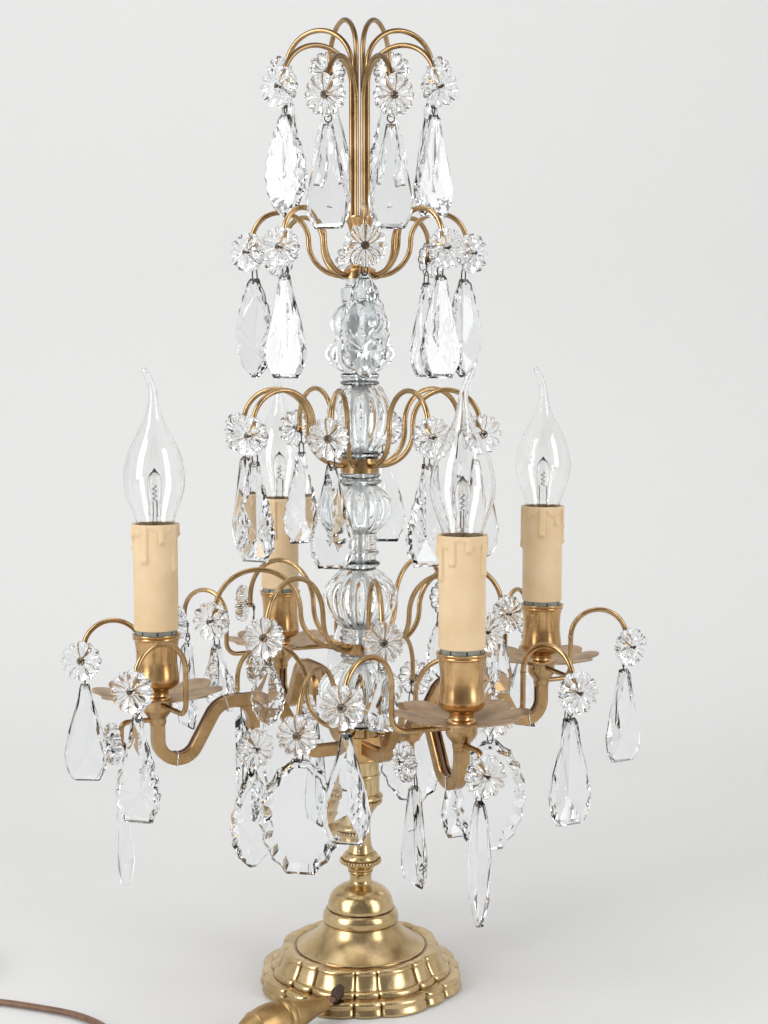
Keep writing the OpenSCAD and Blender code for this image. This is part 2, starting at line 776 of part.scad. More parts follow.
module bulb(k) {
    base = holder_top - screw_l + contact_gap;
    neck_r = sleeve_in_r - 0.4;
    inside = sleeve_top - holder_top;
    profile = [
        [0, 0], [2.5, 0], [4, 2], [screw_r, 3], [screw_r, screw_l - 1], [7.6, screw_l + 2],
        [neck_r, screw_l + 8], [neck_r, screw_l + inside - 0.5], [bulb_r * 0.86, screw_l + inside + bulb_rise * 0.18],
        [bulb_r, screw_l + inside + bulb_rise * 0.38], [bulb_r * 0.93, screw_l + inside + bulb_rise * 0.55],
        [bulb_r * 0.7, screw_l + inside + bulb_rise * 0.76], [bulb_r * 0.42, screw_l + inside + bulb_rise * 0.92],
        [4.6, screw_l + inside + bulb_rise], [0, screw_l + inside + bulb_rise]
    ];
    color(crystal, 0.6) at_candle(k) {
        translate([0, 0, base]) rotate_extrude() polygon(profile);
        translate([0, 0, base + screw_l + inside + bulb_rise])
            rotate(bulb_tail_az[k] - arm_turn - 90 * k) loft(concat(
                [[for (p = bulb_tail_ring(0)) p - [0, 0, tail_root]]],
                [for (i = [0:4]) bulb_tail_ring(i / 4)]
            ));
    }
}

// Crystals: outlines as [share of half width, share of length from the top]
pear = [[0.2, 0], [0.34, 0.16], [0.8, 0.5], [1, 0.72], [0.9, 0.88], [0.6, 1]];
leaf = [[0.2, 0], [0.6, 0.2], [1, 0.5], [0.9, 0.76], [0.45, 0.95], [0.15, 1]];
dagger = [[0.25, 0], [0.6, 0.14], [1, 0.45], [0.75, 0.8], [0.15, 1]];
plaque = [[0.18, 0], [0.6, 0.12], [0.92, 0.33], [1, 0.57], [0.8, 0.82], [0.35, 1]];

function crystal_ring(outline, w, l, x, inset) =
    let (n = len(outline))
        [for (i = [0:2 * n - 1])
            let (p = i < n ? outline[i] : outline[2 * n - 1 - i], side = i < n ? -1 : 1)
                [x, side * p[0] * w / 2 * inset, -l * (0.5 + (p[1] - 0.5) * inset)]];

// Flat-cut crystal facing +X, hung from its top
module crystal_drop(outline, w, l, t) {
    loft([
        crystal_ring(outline, w, l, -t / 2, 0.66),
        crystal_ring(outline, w, l, -t * 0.12, 1),
        crystal_ring(outline, w, l, t * 0.12, 1),
        crystal_ring(outline, w, l, t / 2, 0.66)
    ]);
}

module rosette() {
    r = rosette_d / 2;
    translate([rosette_x, 0, 0]) rotate([0, 90, 0]) linear_extrude(height = rosette_t)
        polygon([
            for (k = [0:rosette_petals - 1], q = [[0, 0.8], [0.28, 1], [0.72, 1]])
                let (a = 360 / rosette_petals * (k + q[0])) [r * q[1] * cos(a), r * q[1] * sin(a)]
        ]);
}

// Pin through a wire's eye and the rosette, and its tail that reaches down
module hang_pin(drop) {
    translate([-tail_back - pin_r, 0, 0]) rotate([0, 90, 0])
        cylinder(r = pin_r, h = tail_back + pin_r + rosette_x + rosette_t + 0.8);
    translate([-tail_back, 0, -drop]) cylinder(r = pin_r, h = drop + pin_r * 0.5);
}

// Rosette with its pin and a lower eye, whose hole lies along the swing axis
module rosette_with_eye(swing) {
    rosette();
    hang_pin(link_drop - link_eye_r);
    translate([-tail_back, 0, -link_drop]) rotate(swing) rotate([90, 0, 0]) difference() {
        cylinder(r = link_eye_r + link_wire_r, h = 2 * link_wire_r, center = true, $fn = 24);
        cylinder(r = link_eye_r - link_wire_r, h = 4 * link_wire_r, center = true, $fn = 24);
    }
}

// Drop on a ring that passes through that eye
module hung_drop(swing, outline, w, l) {
    translate([-tail_back, 0, -link_drop]) {
        rotate(swing) translate([0, 0, -ring_big_r]) rotate([0, 90, 0])
            rotate_extrude() translate([ring_big_r, 0]) circle(r = link_wire_r, $fn = 16);
        translate([0, 0, link_drop - ring_drop - 3])
            cylinder(r = pin_r, h = ring_drop - link_drop + 3 - 2 * ring_big_r);
        translate([0, 0, link_drop - ring_drop]) crystal_drop(outline, w, l, drop_t);
    }
}

module fixed_pendant(outline, w, l) {
    rosette();
    hang_pin(ring_drop + 3);
    translate([-tail_back, 0, -ring_drop]) crystal_drop(outline, w, l, drop_t);
}

module tier_pendants(z, h, az, twists, tip, outline_a, outline_b, w, l) {
    color(crystal, 0.6) for (k = [0:7])
        rotate(az + 45 * k) translate([tip[0], 0, z + h / 2 + tip[1]]) rotate(twists[k])
            fixed_pendant(k % 2 == 0 ? outline_a : outline_b, w, l);
}

module upper_pendants() {
    tip = leg_tip(leg_r[2], rise_r[2], leg_run[2], arch_r[2], tail_run[2]);
    tier_pendants(upper_z, upper_ring_h, upper_az, upper_twist, tip, leaf, pear, drop_w + 2, drop_l);
}

module middle_pendants() {
    tip = leg_tip(leg_r[1], rise_r[1], leg_run[1], arch_r[1], tail_run[1]);
    tier_pendants(middle_z, middle_ring_h, middle_az, middle_twist, tip, pear, pear, drop_w, drop_l);
}

module lower_pendants() {
    tip = leg_tip(leg_r[0], rise_r[0], leg_run[0], arch_r[0], tail_run[0]);
    tier_pendants(lower_z, lower_ring_h, lower_az, lower_twist, tip, pear, leaf, small_w, small_l);
}

module hook_pendants() {
    color(crystal, 0.6) for (k = [0:3])
        rotate(hook_az[k]) translate([hook_tip[0], 0, hook_mid_z + hook_tip[1]]) rotate(hook_twist[k])
            fixed_pendant(plaque, plaque_w, plaque_l);
}

module arm_pendants() {
    color(crystal, 0.6) for (k = [0:3]) at_arm(k) {
        translate([spur_x, 0, spur_end_z - spur_drop]) rotate(90 * spur_side[k])
            fixed_pendant(k == 2 ? leaf : pear, drop_w, drop_l);
        translate([lug_tip_x, 0, lug_tip_z - eye_r + 0.8]) fixed_pendant(dagger, dagger_w, dagger_l);
    }
}

module crown_rosettes() {
    color(crystal, 0.6) for (k = [0:7])
        rotate(crown_az + 45 * k) translate(crown_tip(k)) rotate(crown_twist[k]) rosette_with_eye(-crown_twist[k]);
}

module crown_drop(k) {
    color(crystal, 0.6) rotate(crown_az + 45 * k) translate(crown_tip(k)) rotate(crown_twist[k])
        hung_drop(-crown_twist[k], pear, drop_w, drop_l);
}

module pan_rosettes() {
    color(crystal, 0.6) for (k = [0:3], j = [0, 1])
        at_candle(k) translate(pan_tip(k, j)) rotate(pan_heading[k][j] + pan_twist[k][j])
            rosette_with_eye(-pan_twist[k][j]);
}

module pan_drop(n) {
    k = floor(n / 2);
    j = n % 2;
    color(crystal, 0.6) at_candle(k) translate(pan_tip(k, j)) rotate(pan_heading[k][j] + pan_twist[k][j])
        hung_drop(-pan_twist[k][j], pear, drop_w, drop_l);
}

// Flex

function unit(v) = v / norm(v);

function cord_ring(path, i, sides) =
    let (
        n = len(path),
        d = unit(path[min(i + 1, n - 1)] - path[max(i - 1, 0)]),
        side = unit(cross([0, 0, 1], d)),
        up = cross(d, side)
    )
        [for (k = [0:sides - 1])
            let (a = 360 * (k + 0.5) / sides) path[i] + cord_r * (cos(a) * side + sin(a) * up)];

module cord_tube(path, sides) {
    loft([for (i = [0:len(path) - 1]) cord_ring(path, i, sides)]);
}

// Smooth curve through hand-chosen points
function curve_at(p, i, t) =
    let (
        n = len(p),
        a = p[max(i - 1, 0)],
        b = p[i],
        c = p[min(i + 1, n - 1)],
        d = p[min(i + 2, n - 1)]
    )
        0.5 * (2 * b + (c - a) * t + (2 * a - 5 * b + 4 * c - d) * t * t + (3 * b - a - 3 * c + d) * t * t * t);

function curve(p, steps) = concat(
    [for (i = [0:len(p) - 2], s = [0:steps - 1]) curve_at(p, i, s / steps)],
    [p[len(p) - 1]]
);

cord_dir = [cos(cord_az), sin(cord_az), 0];
switch_dir = [cos(switch_az), sin(switch_az), 0];
bush_out = (band_r + 3) * cord_dir + [0, 0, cord_z];
switch_head = [switch_start[0], switch_start[1], switch_mid_z];
switch_tail = switch_head + switch_l * switch_dir;
lead_in_points = [
    bush_out + bush_gap * cord_dir,
    bush_out + 3 * cord_dir,
    [-18.5, -65.5, 12.7],
    switch_head - 3 * switch_dir,
    switch_head
];
run_points = [
    switch_tail,
    switch_tail + 4 * switch_dir,
    [-82, -121, 9.5],
    [-97, -126, 4.5],
    [-112, -122, floor_z],
    [-126, -108, floor_z],
    [-137, -88, floor_z],
    [-149, -70, floor_z],
    [-166, -56, floor_z],
    [-188, -46, floor_z],
    [-214, -37, floor_z],
    [-240, -34, 2.8],
    [-258, -34, coil_z],
    [-267, -34, coil_z]
];

module cord_bush() {
    color("#4a3a2e") rotate(cord_az) translate([band_r + 3 - bush_l, 0, cord_z]) rotate([0, 90, 0])
        difference() {
            union() {
                cylinder(r = bush_r - 0.1, h = bush_l);
                translate([0, 0, bush_l - 1.2]) cylinder(r = bush_r + 0.4, h = 1.2);
            }
            translate([0, 0, -1]) cylinder(r = cord_r - 0.6, h = bush_l + 2);
        }
}

module cord_lead_in() {
    color(flex_brown) cord_tube(curve(lead_in_points, 3), 8);
}

module cord_run() {
    color(flex_brown) cord_tube(curve(run_points, 3), 8);
}

// Brass switch: a turned shell in line with the flex, with a push bar across it
module switch_shell() {
    k = switch_l / 58;
    profile = [
        [0, 0], [cord_r + 1.4, 0], [cord_r + 2.2, 5], [switch_r * 0.82, 19], [switch_r * 0.82, 20.5], [switch_r, 22],
        [switch_r, 25], [switch_r * 0.9, 26.5], [switch_r * 0.96, 34], [switch_r * 0.82, 44], [cord_r + 2.4, 54],
        [cord_r + 1.4, 58], [0, 58]
    ];
    color(brass) translate(switch_head) rotate(switch_az) difference() {
        rotate([0, 90, 0]) rotate_extrude() polygon([for (p = profile) [p[0], p[1] * k]]);
        translate([30 * k, 0, 0]) rotate([90, 0, 0]) cylinder(r = bar_d / 2 + 0.3, h = 3 * switch_r, center = true);
    }
}

module switch_bar() {
    k = switch_l / 58;
    reach = switch_r + 2;
    color("#d8cfae") translate(switch_head) rotate(switch_az) translate([30 * k, -reach - bar_travel, 0])
        rotate([-90, 0, 0]) cylinder(r = bar_d / 2, h = 2 * reach + bar_travel - 1);
}

// Coil: in along the lower layer, up a layer where the spiral turns back, and out along the upper one
function coil_radius(t) =
    let (half = coil_turns / 2, u = abs(t - half), climb = max(0, cos(360 * u)))
        coil_r - coil_pitch * (half - max(u, 0.25)) - (u < 0.25 ? coil_dip * climb : 0);

function coil_height(t) =
    let (u = min(max((t - coil_in) / 0.5, 0), 1)) coil_z + coil_pitch * (0.5 - 0.5 * cos(180 * u));

function coil_point(t) =
    let (a = 270 - 360 * t, r = coil_radius(t))
        [coil_mid[0] + r * cos(a), coil_mid[1] + r * sin(a), coil_height(t)];

coil_count = coil_turns * coil_steps;
coil_start = run_points[len(run_points) - 1];
coil_last = coil_point(coil_turns);
plug_reach = 26;
plug_at = coil_last + [0, plug_reach, 0];
coil_path = concat(
    [coil_start],
    [for (i = [0:coil_count]) coil_point(i / coil_steps)],
    [coil_last + [0, cord_d, 0], plug_at]
);

coil_self_gap = min([
    for (i = [0:4:coil_count], j = [i + 12:coil_count])
        norm(coil_point(i / coil_steps) - coil_point(j / coil_steps)) - cord_d
]);
coil_length = 2 * PI * (coil_r - coil_pitch * coil_in / 2) * coil_turns;
echo(coil_self_gap = coil_self_gap, coil_length = coil_length);

module cord_coil() {
    color(flex_brown) cord_tube(coil_path, 6);
}

module coil_tie() {
    in_r = coil_radius(coil_turns / 2) - cord_r - tie_gap;
    out_r = coil_r + cord_r + tie_gap;
    low = coil_z - cord_r - tie_gap;
    high = coil_top_z + cord_r + tie_gap;
    color("#2b2b2b") translate([coil_mid[0], coil_mid[1], 0]) rotate(tie_az) difference() {
        translate([in_r - tie_t, -tie_w / 2, low - tie_t])
            cube([out_r - in_r + 2 * tie_t, tie_w, high - low + 2 * tie_t]);
        translate([in_r, -tie_w, low]) cube([out_r - in_r, 2 * tie_w, high - low]);
    }
}

// Two-pin plug at the end of the coil, lying flat with its pins to the back
module plug_body() {
    back_w = 9;
    color("#5a4636") translate([plug_at[0], plug_at[1], 0]) linear_extrude(height = 2 * coil_top_z)
        polygon([
            [-back_w / 2, 0], [back_w / 2, 0], [back_w / 2, 5], [plug_w / 2, 16], [plug_w / 2, plug_l],
            [-plug_w / 2, plug_l], [-plug_w / 2, 16], [-back_w / 2, 5]
        ]);
}

module plug_pins() {
    pin_apart = 19;
    color("#c9b37a") for (s = [-1, 1])
        translate([plug_at[0] + s * pin_apart / 2, plug_at[1] + plug_l, coil_top_z]) rotate([-90, 0, 0]) {
            cylinder(r = 2, h = 19);
        }
}

foot();
base_cover();
stem();
hub();
column_rod();
hub_hooks();
glass_1();
glass_2();
glass_3();
glass_4();
glass_5();
glass_cap();
lower_tier();
middle_tier();
upper_tier();
crown_vase();
crown_wires();
candle_arms();
arm_leads();
pan_wires();
drip_pans();
candle_cups();
lamp_holders();
candle_sleeves();
for (k = [0:3])
    bulb(k);
crown_rosettes();
pan_rosettes();
upper_pendants();
middle_pendants();
lower_pendants();
hook_pendants();
arm_pendants();
for (k = [0:7])
    crown_drop(k);
for (n = [0:7])
    pan_drop(n);
cord_bush();
cord_lead_in();
switch_shell();
switch_bar();
cord_run();
cord_coil();
coil_tie();
plug_body();
plug_pins();
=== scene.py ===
import math
from math import cos, hypot, pi, radians, sin
import bpy
from mathutils import Euler, Matrix, Vector


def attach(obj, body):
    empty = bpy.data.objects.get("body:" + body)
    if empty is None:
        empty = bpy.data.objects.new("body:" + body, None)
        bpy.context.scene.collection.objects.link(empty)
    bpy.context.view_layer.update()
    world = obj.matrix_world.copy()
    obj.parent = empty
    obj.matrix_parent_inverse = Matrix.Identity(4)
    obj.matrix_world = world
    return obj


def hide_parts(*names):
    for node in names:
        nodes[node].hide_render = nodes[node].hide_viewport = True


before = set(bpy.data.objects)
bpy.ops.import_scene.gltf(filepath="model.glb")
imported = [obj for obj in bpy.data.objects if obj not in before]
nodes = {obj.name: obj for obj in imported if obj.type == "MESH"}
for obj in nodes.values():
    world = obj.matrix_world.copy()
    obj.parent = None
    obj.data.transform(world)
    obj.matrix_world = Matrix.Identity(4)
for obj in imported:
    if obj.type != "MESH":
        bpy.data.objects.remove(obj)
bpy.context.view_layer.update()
scene = bpy.context.scene
scene.view_settings.view_transform = "Standard"
mm = 0.001


def hexColour(code):
    parts = [int(code[i:i + 2], 16) / 255 for i in (1, 3, 5)]
    linear = [c / 12.92 if c <= 0.04045 else ((c + 0.055) / 1.055) ** 2.4 for c in parts]
    return (*linear, 1.0)


# adds one node: names or numbers of sockets set its inputs, other names set its options
def addNode(tree, kind, settings=None, links=None):
    node = tree.nodes.new(kind)
    settings = settings or {}
    for key, value in settings.items():
        if isinstance(key, str) and key not in node.inputs.keys():
            setattr(node, key, value)
    for key, value in settings.items():
        if not isinstance(key, str) or key in node.inputs.keys():
            node.inputs[key].default_value = value
    for key, source in (links or {}).items():
        tree.links.new(source, node.inputs[key])
    return node


print("stage: materials")


def startMaterial(name, settings):
    material = bpy.data.materials.new(name)
    material.use_nodes = True
    tree = material.node_tree
    tree.nodes.clear()
    shader = addNode(tree, "ShaderNodeBsdfPrincipled", settings)
    addNode(tree, "ShaderNodeOutputMaterial", None, {"Surface": shader.outputs[0]})
    place = addNode(tree, "ShaderNodeTexCoord")
    return material, tree, shader, place.outputs["Object"]


# noise whose grain is given in millimetres
def addNoise(tree, place, grain, detail, more=None):
    settings = {"Scale": 1 / (grain * mm), "Detail": detail, **(more or {})}
    return addNode(tree, "ShaderNodeTexNoise", settings, {"Vector": place}).outputs[0]


# colour ramp over a value, with stops as (position, hex)
def addRamp(tree, value, stops):
    ramp = addNode(tree, "ShaderNodeValToRGB", None, {"Fac": value})
    while len(ramp.color_ramp.elements) < len(stops):
        ramp.color_ramp.elements.new(0.5)
    for element, (position, code) in zip(ramp.color_ramp.elements, stops):
        element.position = position
        element.color = hexColour(code)
    return ramp.outputs[0]


def mapRange(tree, value, low, high, more=None):
    settings = {"From Min": low, "From Max": high, **(more or {})}
    return addNode(tree, "ShaderNodeMapRange", settings, {"Value": value}).outputs[0]


# a tone times a colour; socket 0 is the share of it and socket 7 the colour
def multiply(tree, tone, settings, links):
    settings = {"data_type": "RGBA", "blend_type": "MULTIPLY", **settings}
    return addNode(tree, "ShaderNodeMix", settings, {6: tone, **links}).outputs[2]


def tint(tree, shader, value, stops):
    tree.links.new(addRamp(tree, value, stops), shader.inputs["Base Color"])


def roughen(tree, shader, height, strength, distance):
    bump = addNode(tree, "ShaderNodeBump", {"Strength": strength, "Distance": distance}, {"Height": height})
    tree.links.new(bump.outputs[0], shader.inputs["Normal"])


smoothStep = {"interpolation_type": "SMOOTHSTEP"}

# turned and drawn brass, lacquer worn thin: warm gold with browner patches and a soft, uneven gloss
brassLook = {"patch": 16, "speck": 1.6, "light": "#DDBB8A", "mid": "#CDA674", "dark": "#B08958",
             "gloss": (0.18, 0.28)}


# the top-shade colour paints shade on the faces that look up, as if less light fell from above; crease leaves
# old polish in the grooves
def makeBrass(name, **changes):
    look = {**brassLook, **changes}
    material, tree, shader, place = startMaterial(name, {"Metallic": 1.0, "Roughness": 0.28})
    patch = addNoise(tree, place, look["patch"], 4.0, {"Roughness": 0.6})
    speck = addNoise(tree, place, look["speck"], 3.0)
    tone = addRamp(tree, patch, [(0.3, look["dark"]), (0.52, look["mid"]), (0.7, look["light"])])
    spots = addRamp(tree, speck, [(0.26, "#8E7A60"), (0.38, "#FFFFFF")])
    tone = multiply(tree, tone, {0: 0.35}, {7: spots})
    # painted shade: faces whose normals point up are darkened towards the top-shade colour
    if "upperSide" in look:
        facing = addNode(tree, "ShaderNodeTexCoord")
        upward = addNode(tree, "ShaderNodeSeparateXYZ", None, {0: facing.outputs["Normal"]})
        over = mapRange(tree, upward.outputs["Z"], -0.1, 0.6, smoothStep)
        tone = multiply(tree, tone, {7: hexColour(look["upperSide"])}, {0: over})
    if "crease" in look:
        reach = {"samples": 8, "only_local": True, "Distance": 4 * mm}
        shelter = addNode(tree, "ShaderNodeAmbientOcclusion", reach)
        deep = mapRange(tree, shelter.outputs["AO"], 0.9, 0.5)
        tone = multiply(tree, tone, {7: hexColour(look["crease"])}, {0: deep})
    tree.links.new(tone, shader.inputs["Base Color"])
    smooth, dull = look["gloss"]
    gloss = mapRange(tree, patch, 0.3, 0.7, {"To Min": smooth, "To Max": dull})
    tree.links.new(gloss, shader.inputs["Roughness"])
    roughen(tree, shader, speck, 0.12, 0.0001)
    return material


brass = makeBrass("lacqueredBrass")
footBrass = makeBrass("castBrass", patch=22, light="#DEC498", mid="#CEB487", dark="#AF9567", crease="#7A5C38",
                      gloss=(0.18, 0.3))
wireBrass = makeBrass("drawnBrassWire", light="#CBAC82", mid="#B6966B", dark="#94774D")
# crown wires: brass with painted shade on their upper sides
crownBrass = makeBrass("brassWireWithPaintedTopShade", light="#C8AB85", mid="#B6986F", dark="#94774D",
                       upperSide="#8E8078", gloss=(0.26, 0.36))
armBrass = makeBrass("browntonedBrass", light="#C2A478", mid="#B39166", dark="#97784C", gloss=(0.24, 0.36))
panBrass = makeBrass("patinatedSheetBrass", patch=14, light="#CDB393", mid="#B69A79", dark="#8B7053",
                     gloss=(0.36, 0.5))
switchBrass = makeBrass("satinBrass", light="#C4A676", mid="#B39363", dark="#96784C", gloss=(0.34, 0.46))

# drawn steel wire gone dark: near black brown with a dull shine
wireSteel, tree, shader, place = startMaterial("darkSteelWire", {"Metallic": 1.0, "Roughness": 0.45})
tint(tree, shader, addNoise(tree, place, 1.5, 3.0), [(0.3, "#2E2823"), (0.7, "#6B5E50")])

# zinc plated rod: cool grey with fine lengthwise streaks
rodSteel, tree, shader, place = startMaterial("platedSteel", {"Metallic": 0.6, "Roughness": 0.25})
streaks = addNode(tree, "ShaderNodeMapping", {"Scale": (1.0, 1.0, 0.03)}, {"Vector": place})
tint(tree, shader, addNoise(tree, streaks.outputs[0], 0.8, 2.0), [(0.3, "#E4E6E8"), (0.7, "#FAFAFA")])


# lead crystal and pressed glass: clear, polished, a trace of waviness that bends the highlights
def makeGlass(name, colour, ior, wave, strength):
    material, tree, shader, place = startMaterial(name, {
        "Base Color": hexColour(colour), "Roughness": 0.0, "IOR": ior, "Transmission Weight": 1.0})
    roughen(tree, shader, addNoise(tree, place, wave, 2.0), strength, 0.0002)
    return material


crystal = makeGlass("leadCrystal", "#FDFEFF", 1.55, 9, 0.06)
columnGlass = makeGlass("pressedGlass", "#FAFDFD", 1.52, 7, 0.18)
bulbGlass = makeGlass("blownGlass", "#FFFFFF", 1.47, 12, 0.05)

# moulded ivory plastic: soft sheen, faint yellowing in broad patches
sleevePlastic, tree, shader, place = startMaterial("ivoryPlastic", {
    "Roughness": 0.5, "IOR": 1.46, "Subsurface Weight": 0.12, "Subsurface Radius": (0.004, 0.0025, 0.0012)})
tint(tree, shader, addNoise(tree, place, 18, 5.0), [(0.3, "#D8BA92"), (0.55, "#DFC49D"), (0.75, "#E4CCA8")])
roughen(tree, shader, addNoise(tree, place, 2, 3.0), 0.15, 0.0002)


# moulded plastics: even colour with a fine mottling and a slightly pebbled skin
def makePlastic(name, light, dark, roughness, mottle):
    material, tree, shader, place = startMaterial(name, {"Roughness": roughness, "IOR": 1.5})
    grain = addNoise(tree, place, mottle, 4.0)
    tint(tree, shader, grain, [(0.32, dark), (0.68, light)])
    roughen(tree, shader, grain, 0.15, 0.0001)
    return material


holderGrey = makePlastic("greyThermoplastic", "#969890", "#7E817A", 0.55, 4)
flexBrown = makePlastic("brownFlexPvc", "#84614A", "#6A4B38", 0.42, 6)
bushBrown = makePlastic("darkBrownRubber", "#4A3A2E", "#3A2D24", 0.6, 3)
plugBrown = makePlastic("brownBakelite", "#5C4534", "#42301F", 0.3, 8)
barCream = makePlastic("creamBakelite", "#DDD3B0", "#CABD96", 0.35, 6)
tieBlack = makePlastic("blackPvc", "#2A2A2A", "#1C1C1C", 0.5, 3)
coverPaint = makePlastic("blackEnamel", "#3A3A3A", "#2A2A2A", 0.5, 10)
# near-black plastic that paints the shade inside the holder's notches
notchShade = makePlastic("paintedNotchShade", "#3C3D3A", "#2A2B29", 0.6, 3)

print("stage: camera, light and floor")

# long lens at table height, a little above the pans
cameraSet = {"back": 0.952, "height": 0.378, "pitch": 5.39, "yaw": 0.86, "lens": 56.25}
cameraData = bpy.data.cameras.new("camera")
cameraData.sensor_width = 36
cameraData.sensor_fit = "AUTO"
cameraData.lens = cameraSet["lens"]
cameraData.clip_start = 0.01
camera = bpy.data.objects.new("camera", cameraData)
camera.location = (0, -cameraSet["back"], cameraSet["height"])
camera.rotation_euler = Euler((radians(90 - cameraSet["pitch"]), 0, radians(-cameraSet["yaw"])), "XYZ")
scene.collection.objects.link(camera)
scene.camera = camera

lampAim = Vector((0, 0, 0.25))
lampSet = [
    {"name": "keyLamp", "at": (-1.25, -0.95, 0.95), "size": (0.7, 1.5), "watts": 18.5},
    {"name": "fillLamp", "at": (1.3, -0.9, 0.85), "size": (0.6, 1.4), "watts": 12},
    {"name": "topLamp", "at": (-0.2, 0.1, 2.0), "size": (1.8, 1.4), "watts": 9},
]
for lamp in lampSet:
    light = bpy.data.lights.new(lamp["name"], "AREA")
    light.shape = "RECTANGLE"
    light.size, light.size_y = lamp["size"]
    light.energy = lamp["watts"]
    lampObject = bpy.data.objects.new(lamp["name"], light)
    lampObject.location = lamp["at"]
    lampObject.rotation_euler = (lampAim - Vector(lamp["at"])).to_track_quat("-Z", "Y").to_euler()
    scene.collection.objects.link(lampObject)

# pale studio behind the lamp, dimmer behind the camera, so that glass and brass have something to show
worldSet = {"pale": "#E6E6E6", "dim": "#8A8886", "fillTone": "#F4F4F2", "fill": 0.57, "span": (-0.55, 0.25)}
world = bpy.data.worlds.new("studio")
scene.world = world
world.use_nodes = True
tree = world.node_tree
tree.nodes.clear()
way = addNode(tree, "ShaderNodeTexCoord")
parts = addNode(tree, "ShaderNodeSeparateXYZ", None, {0: way.outputs["Generated"]})
side = mapRange(tree, parts.outputs["Y"], *worldSet["span"], smoothStep)
seen = addNode(tree, "ShaderNodeMix", {
    "data_type": "RGBA", 6: hexColour(worldSet["dim"]), 7: hexColour(worldSet["pale"])}, {0: side})
ray = addNode(tree, "ShaderNodeLightPath")
glassOrGloss = addNode(tree, "ShaderNodeMath", {"operation": "MAXIMUM"}, {
    0: ray.outputs["Is Glossy Ray"], 1: ray.outputs["Is Transmission Ray"]})
showing = addNode(tree, "ShaderNodeMath", {"operation": "MAXIMUM"}, {
    0: glassOrGloss.outputs[0], 1: ray.outputs["Is Camera Ray"]})
fill = addNode(tree, "ShaderNodeBackground", {
    "Color": hexColour(worldSet["fillTone"]), "Strength": worldSet["fill"]})
shown = addNode(tree, "ShaderNodeBackground", {"Strength": 1.0}, {"Color": seen.outputs[2]})
joined = addNode(tree, "ShaderNodeMixShader", None, {
    0: showing.outputs[0], 1: fill.outputs[0], 2: shown.outputs[0]})
addNode(tree, "ShaderNodeOutputWorld", None, {"Surface": joined.outputs[0]})

# paper sweep: floor, round corner and wall in one sheet, a hair below the foot
sweepSet = {"front": -1.6, "corner": 0.55, "radius": 0.5, "wall": 2.2, "half": 2.4, "steps": 12,
            "below": 0.0003, "light": "#DFDFDF", "dark": "#DBDBDB"}
bend, half = sweepSet["radius"], sweepSet["half"]
sweepPath = [(sweepSet["front"], 0.0)]
for k in range(sweepSet["steps"] + 1):
    a = radians(90 * k / sweepSet["steps"])
    sweepPath.append((sweepSet["corner"] + bend * sin(a), bend * (1 - cos(a))))
sweepPath.append((sweepSet["corner"] + bend, sweepSet["wall"]))
sweepMesh = bpy.data.meshes.new("floor")
sweepMesh.from_pydata(
    [(x, y, z - sweepSet["below"]) for y, z in sweepPath for x in (-half, half)], [],
    [(2 * k, 2 * k + 1, 2 * k + 3, 2 * k + 2) for k in range(len(sweepPath) - 1)])
sweepMesh.shade_smooth()
sweep = bpy.data.objects.new("floor", sweepMesh)
scene.collection.objects.link(sweep)
# pale paper, clear from the back, so that a view from behind looks through the wall
paper, tree, shader, place = startMaterial("sweepPaper", {"Roughness": 0.85, "IOR": 1.3})
tint(tree, shader, addNoise(tree, place, 1.2, 3.0), [(0.3, sweepSet["dark"]), (0.7, sweepSet["light"])])
facing = addNode(tree, "ShaderNodeNewGeometry")
front = addNode(tree, "ShaderNodeMath", {"operation": "SUBTRACT", 0: 1.0}, {1: facing.outputs["Backfacing"]})
tree.links.new(front.outputs[0], shader.inputs["Alpha"])
sweepMesh.materials.append(paper)

print("stage: mesh tools")


# a finished mesh from points in millimetres; edges stay sharp where faces meet at more than the angle
def makePiece(name, points, faces, material, angle=None):
    mesh = bpy.data.meshes.new(name)
    mesh.from_pydata([Vector(p) * mm for p in points], [], faces)
    mesh.update()
    if angle is not None:
        mesh.shade_smooth()
        mesh.set_sharp_from_angle(angle=radians(angle))
    piece = bpy.data.objects.new(name, mesh)
    scene.collection.objects.link(piece)
    mesh.materials.append(material)
    return piece


def finishPiece(piece, body, slot, *replaced):
    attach(piece, body)
    if replaced:
        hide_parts(*replaced)
    return piece


def addPiece(name, shape, material, angle, body, slot, *replaced):
    return finishPiece(makePiece(name, *shape, material, angle), body, slot, *replaced)


# new material on a piece of the frame that is kept as it is
def paintNode(name, material):
    nodes[name].data.materials.clear()
    nodes[name].data.materials.append(material)


# angles round a circle of count steps, all of them or the first few
def around(count, taken=None):
    return [2 * pi * k / count for k in range(taken or count)]


def polar(r, a):
    return (r * cos(a), r * sin(a))


def pointing(degrees):
    return Vector((*polar(1, radians(degrees)), 0))


def turned(point, degrees, at=(0, 0, 0)):
    a = radians(degrees)
    x, y, z = point
    return (at[0] + x * cos(a) - y * sin(a), at[1] + x * sin(a) + y * cos(a), at[2] + z)


# shapes are pairs of points and faces
def joinShapes(shapes):
    points, faces = [], []
    for morePoints, moreFaces in shapes:
        base = len(points)
        points += morePoints
        faces += [tuple(i + base for i in f) for f in moreFaces]
    return points, faces


def placeShape(shape, turn=0, at=(0, 0, 0)):
    return [turned(p, turn, at) for p in shape[0]], shape[1]


def shifted(shape, offset):
    return [tuple(Vector(p) + Vector(offset)) for p in shape[0]], shape[1]


# a shape laid over by a tilt, pushed along, turned about the vertical and moved
def laid(shape, at, turn, axis, tilt, along=0):
    spot = Matrix.Translation(at) @ Matrix.Rotation(radians(turn), 4, "Z") @ Matrix.Translation((along, 0, 0))
    spot = spot @ Matrix.Rotation(radians(tilt), 4, axis)
    return [tuple(spot @ Vector(p)) for p in shape[0]], shape[1]


corner = None


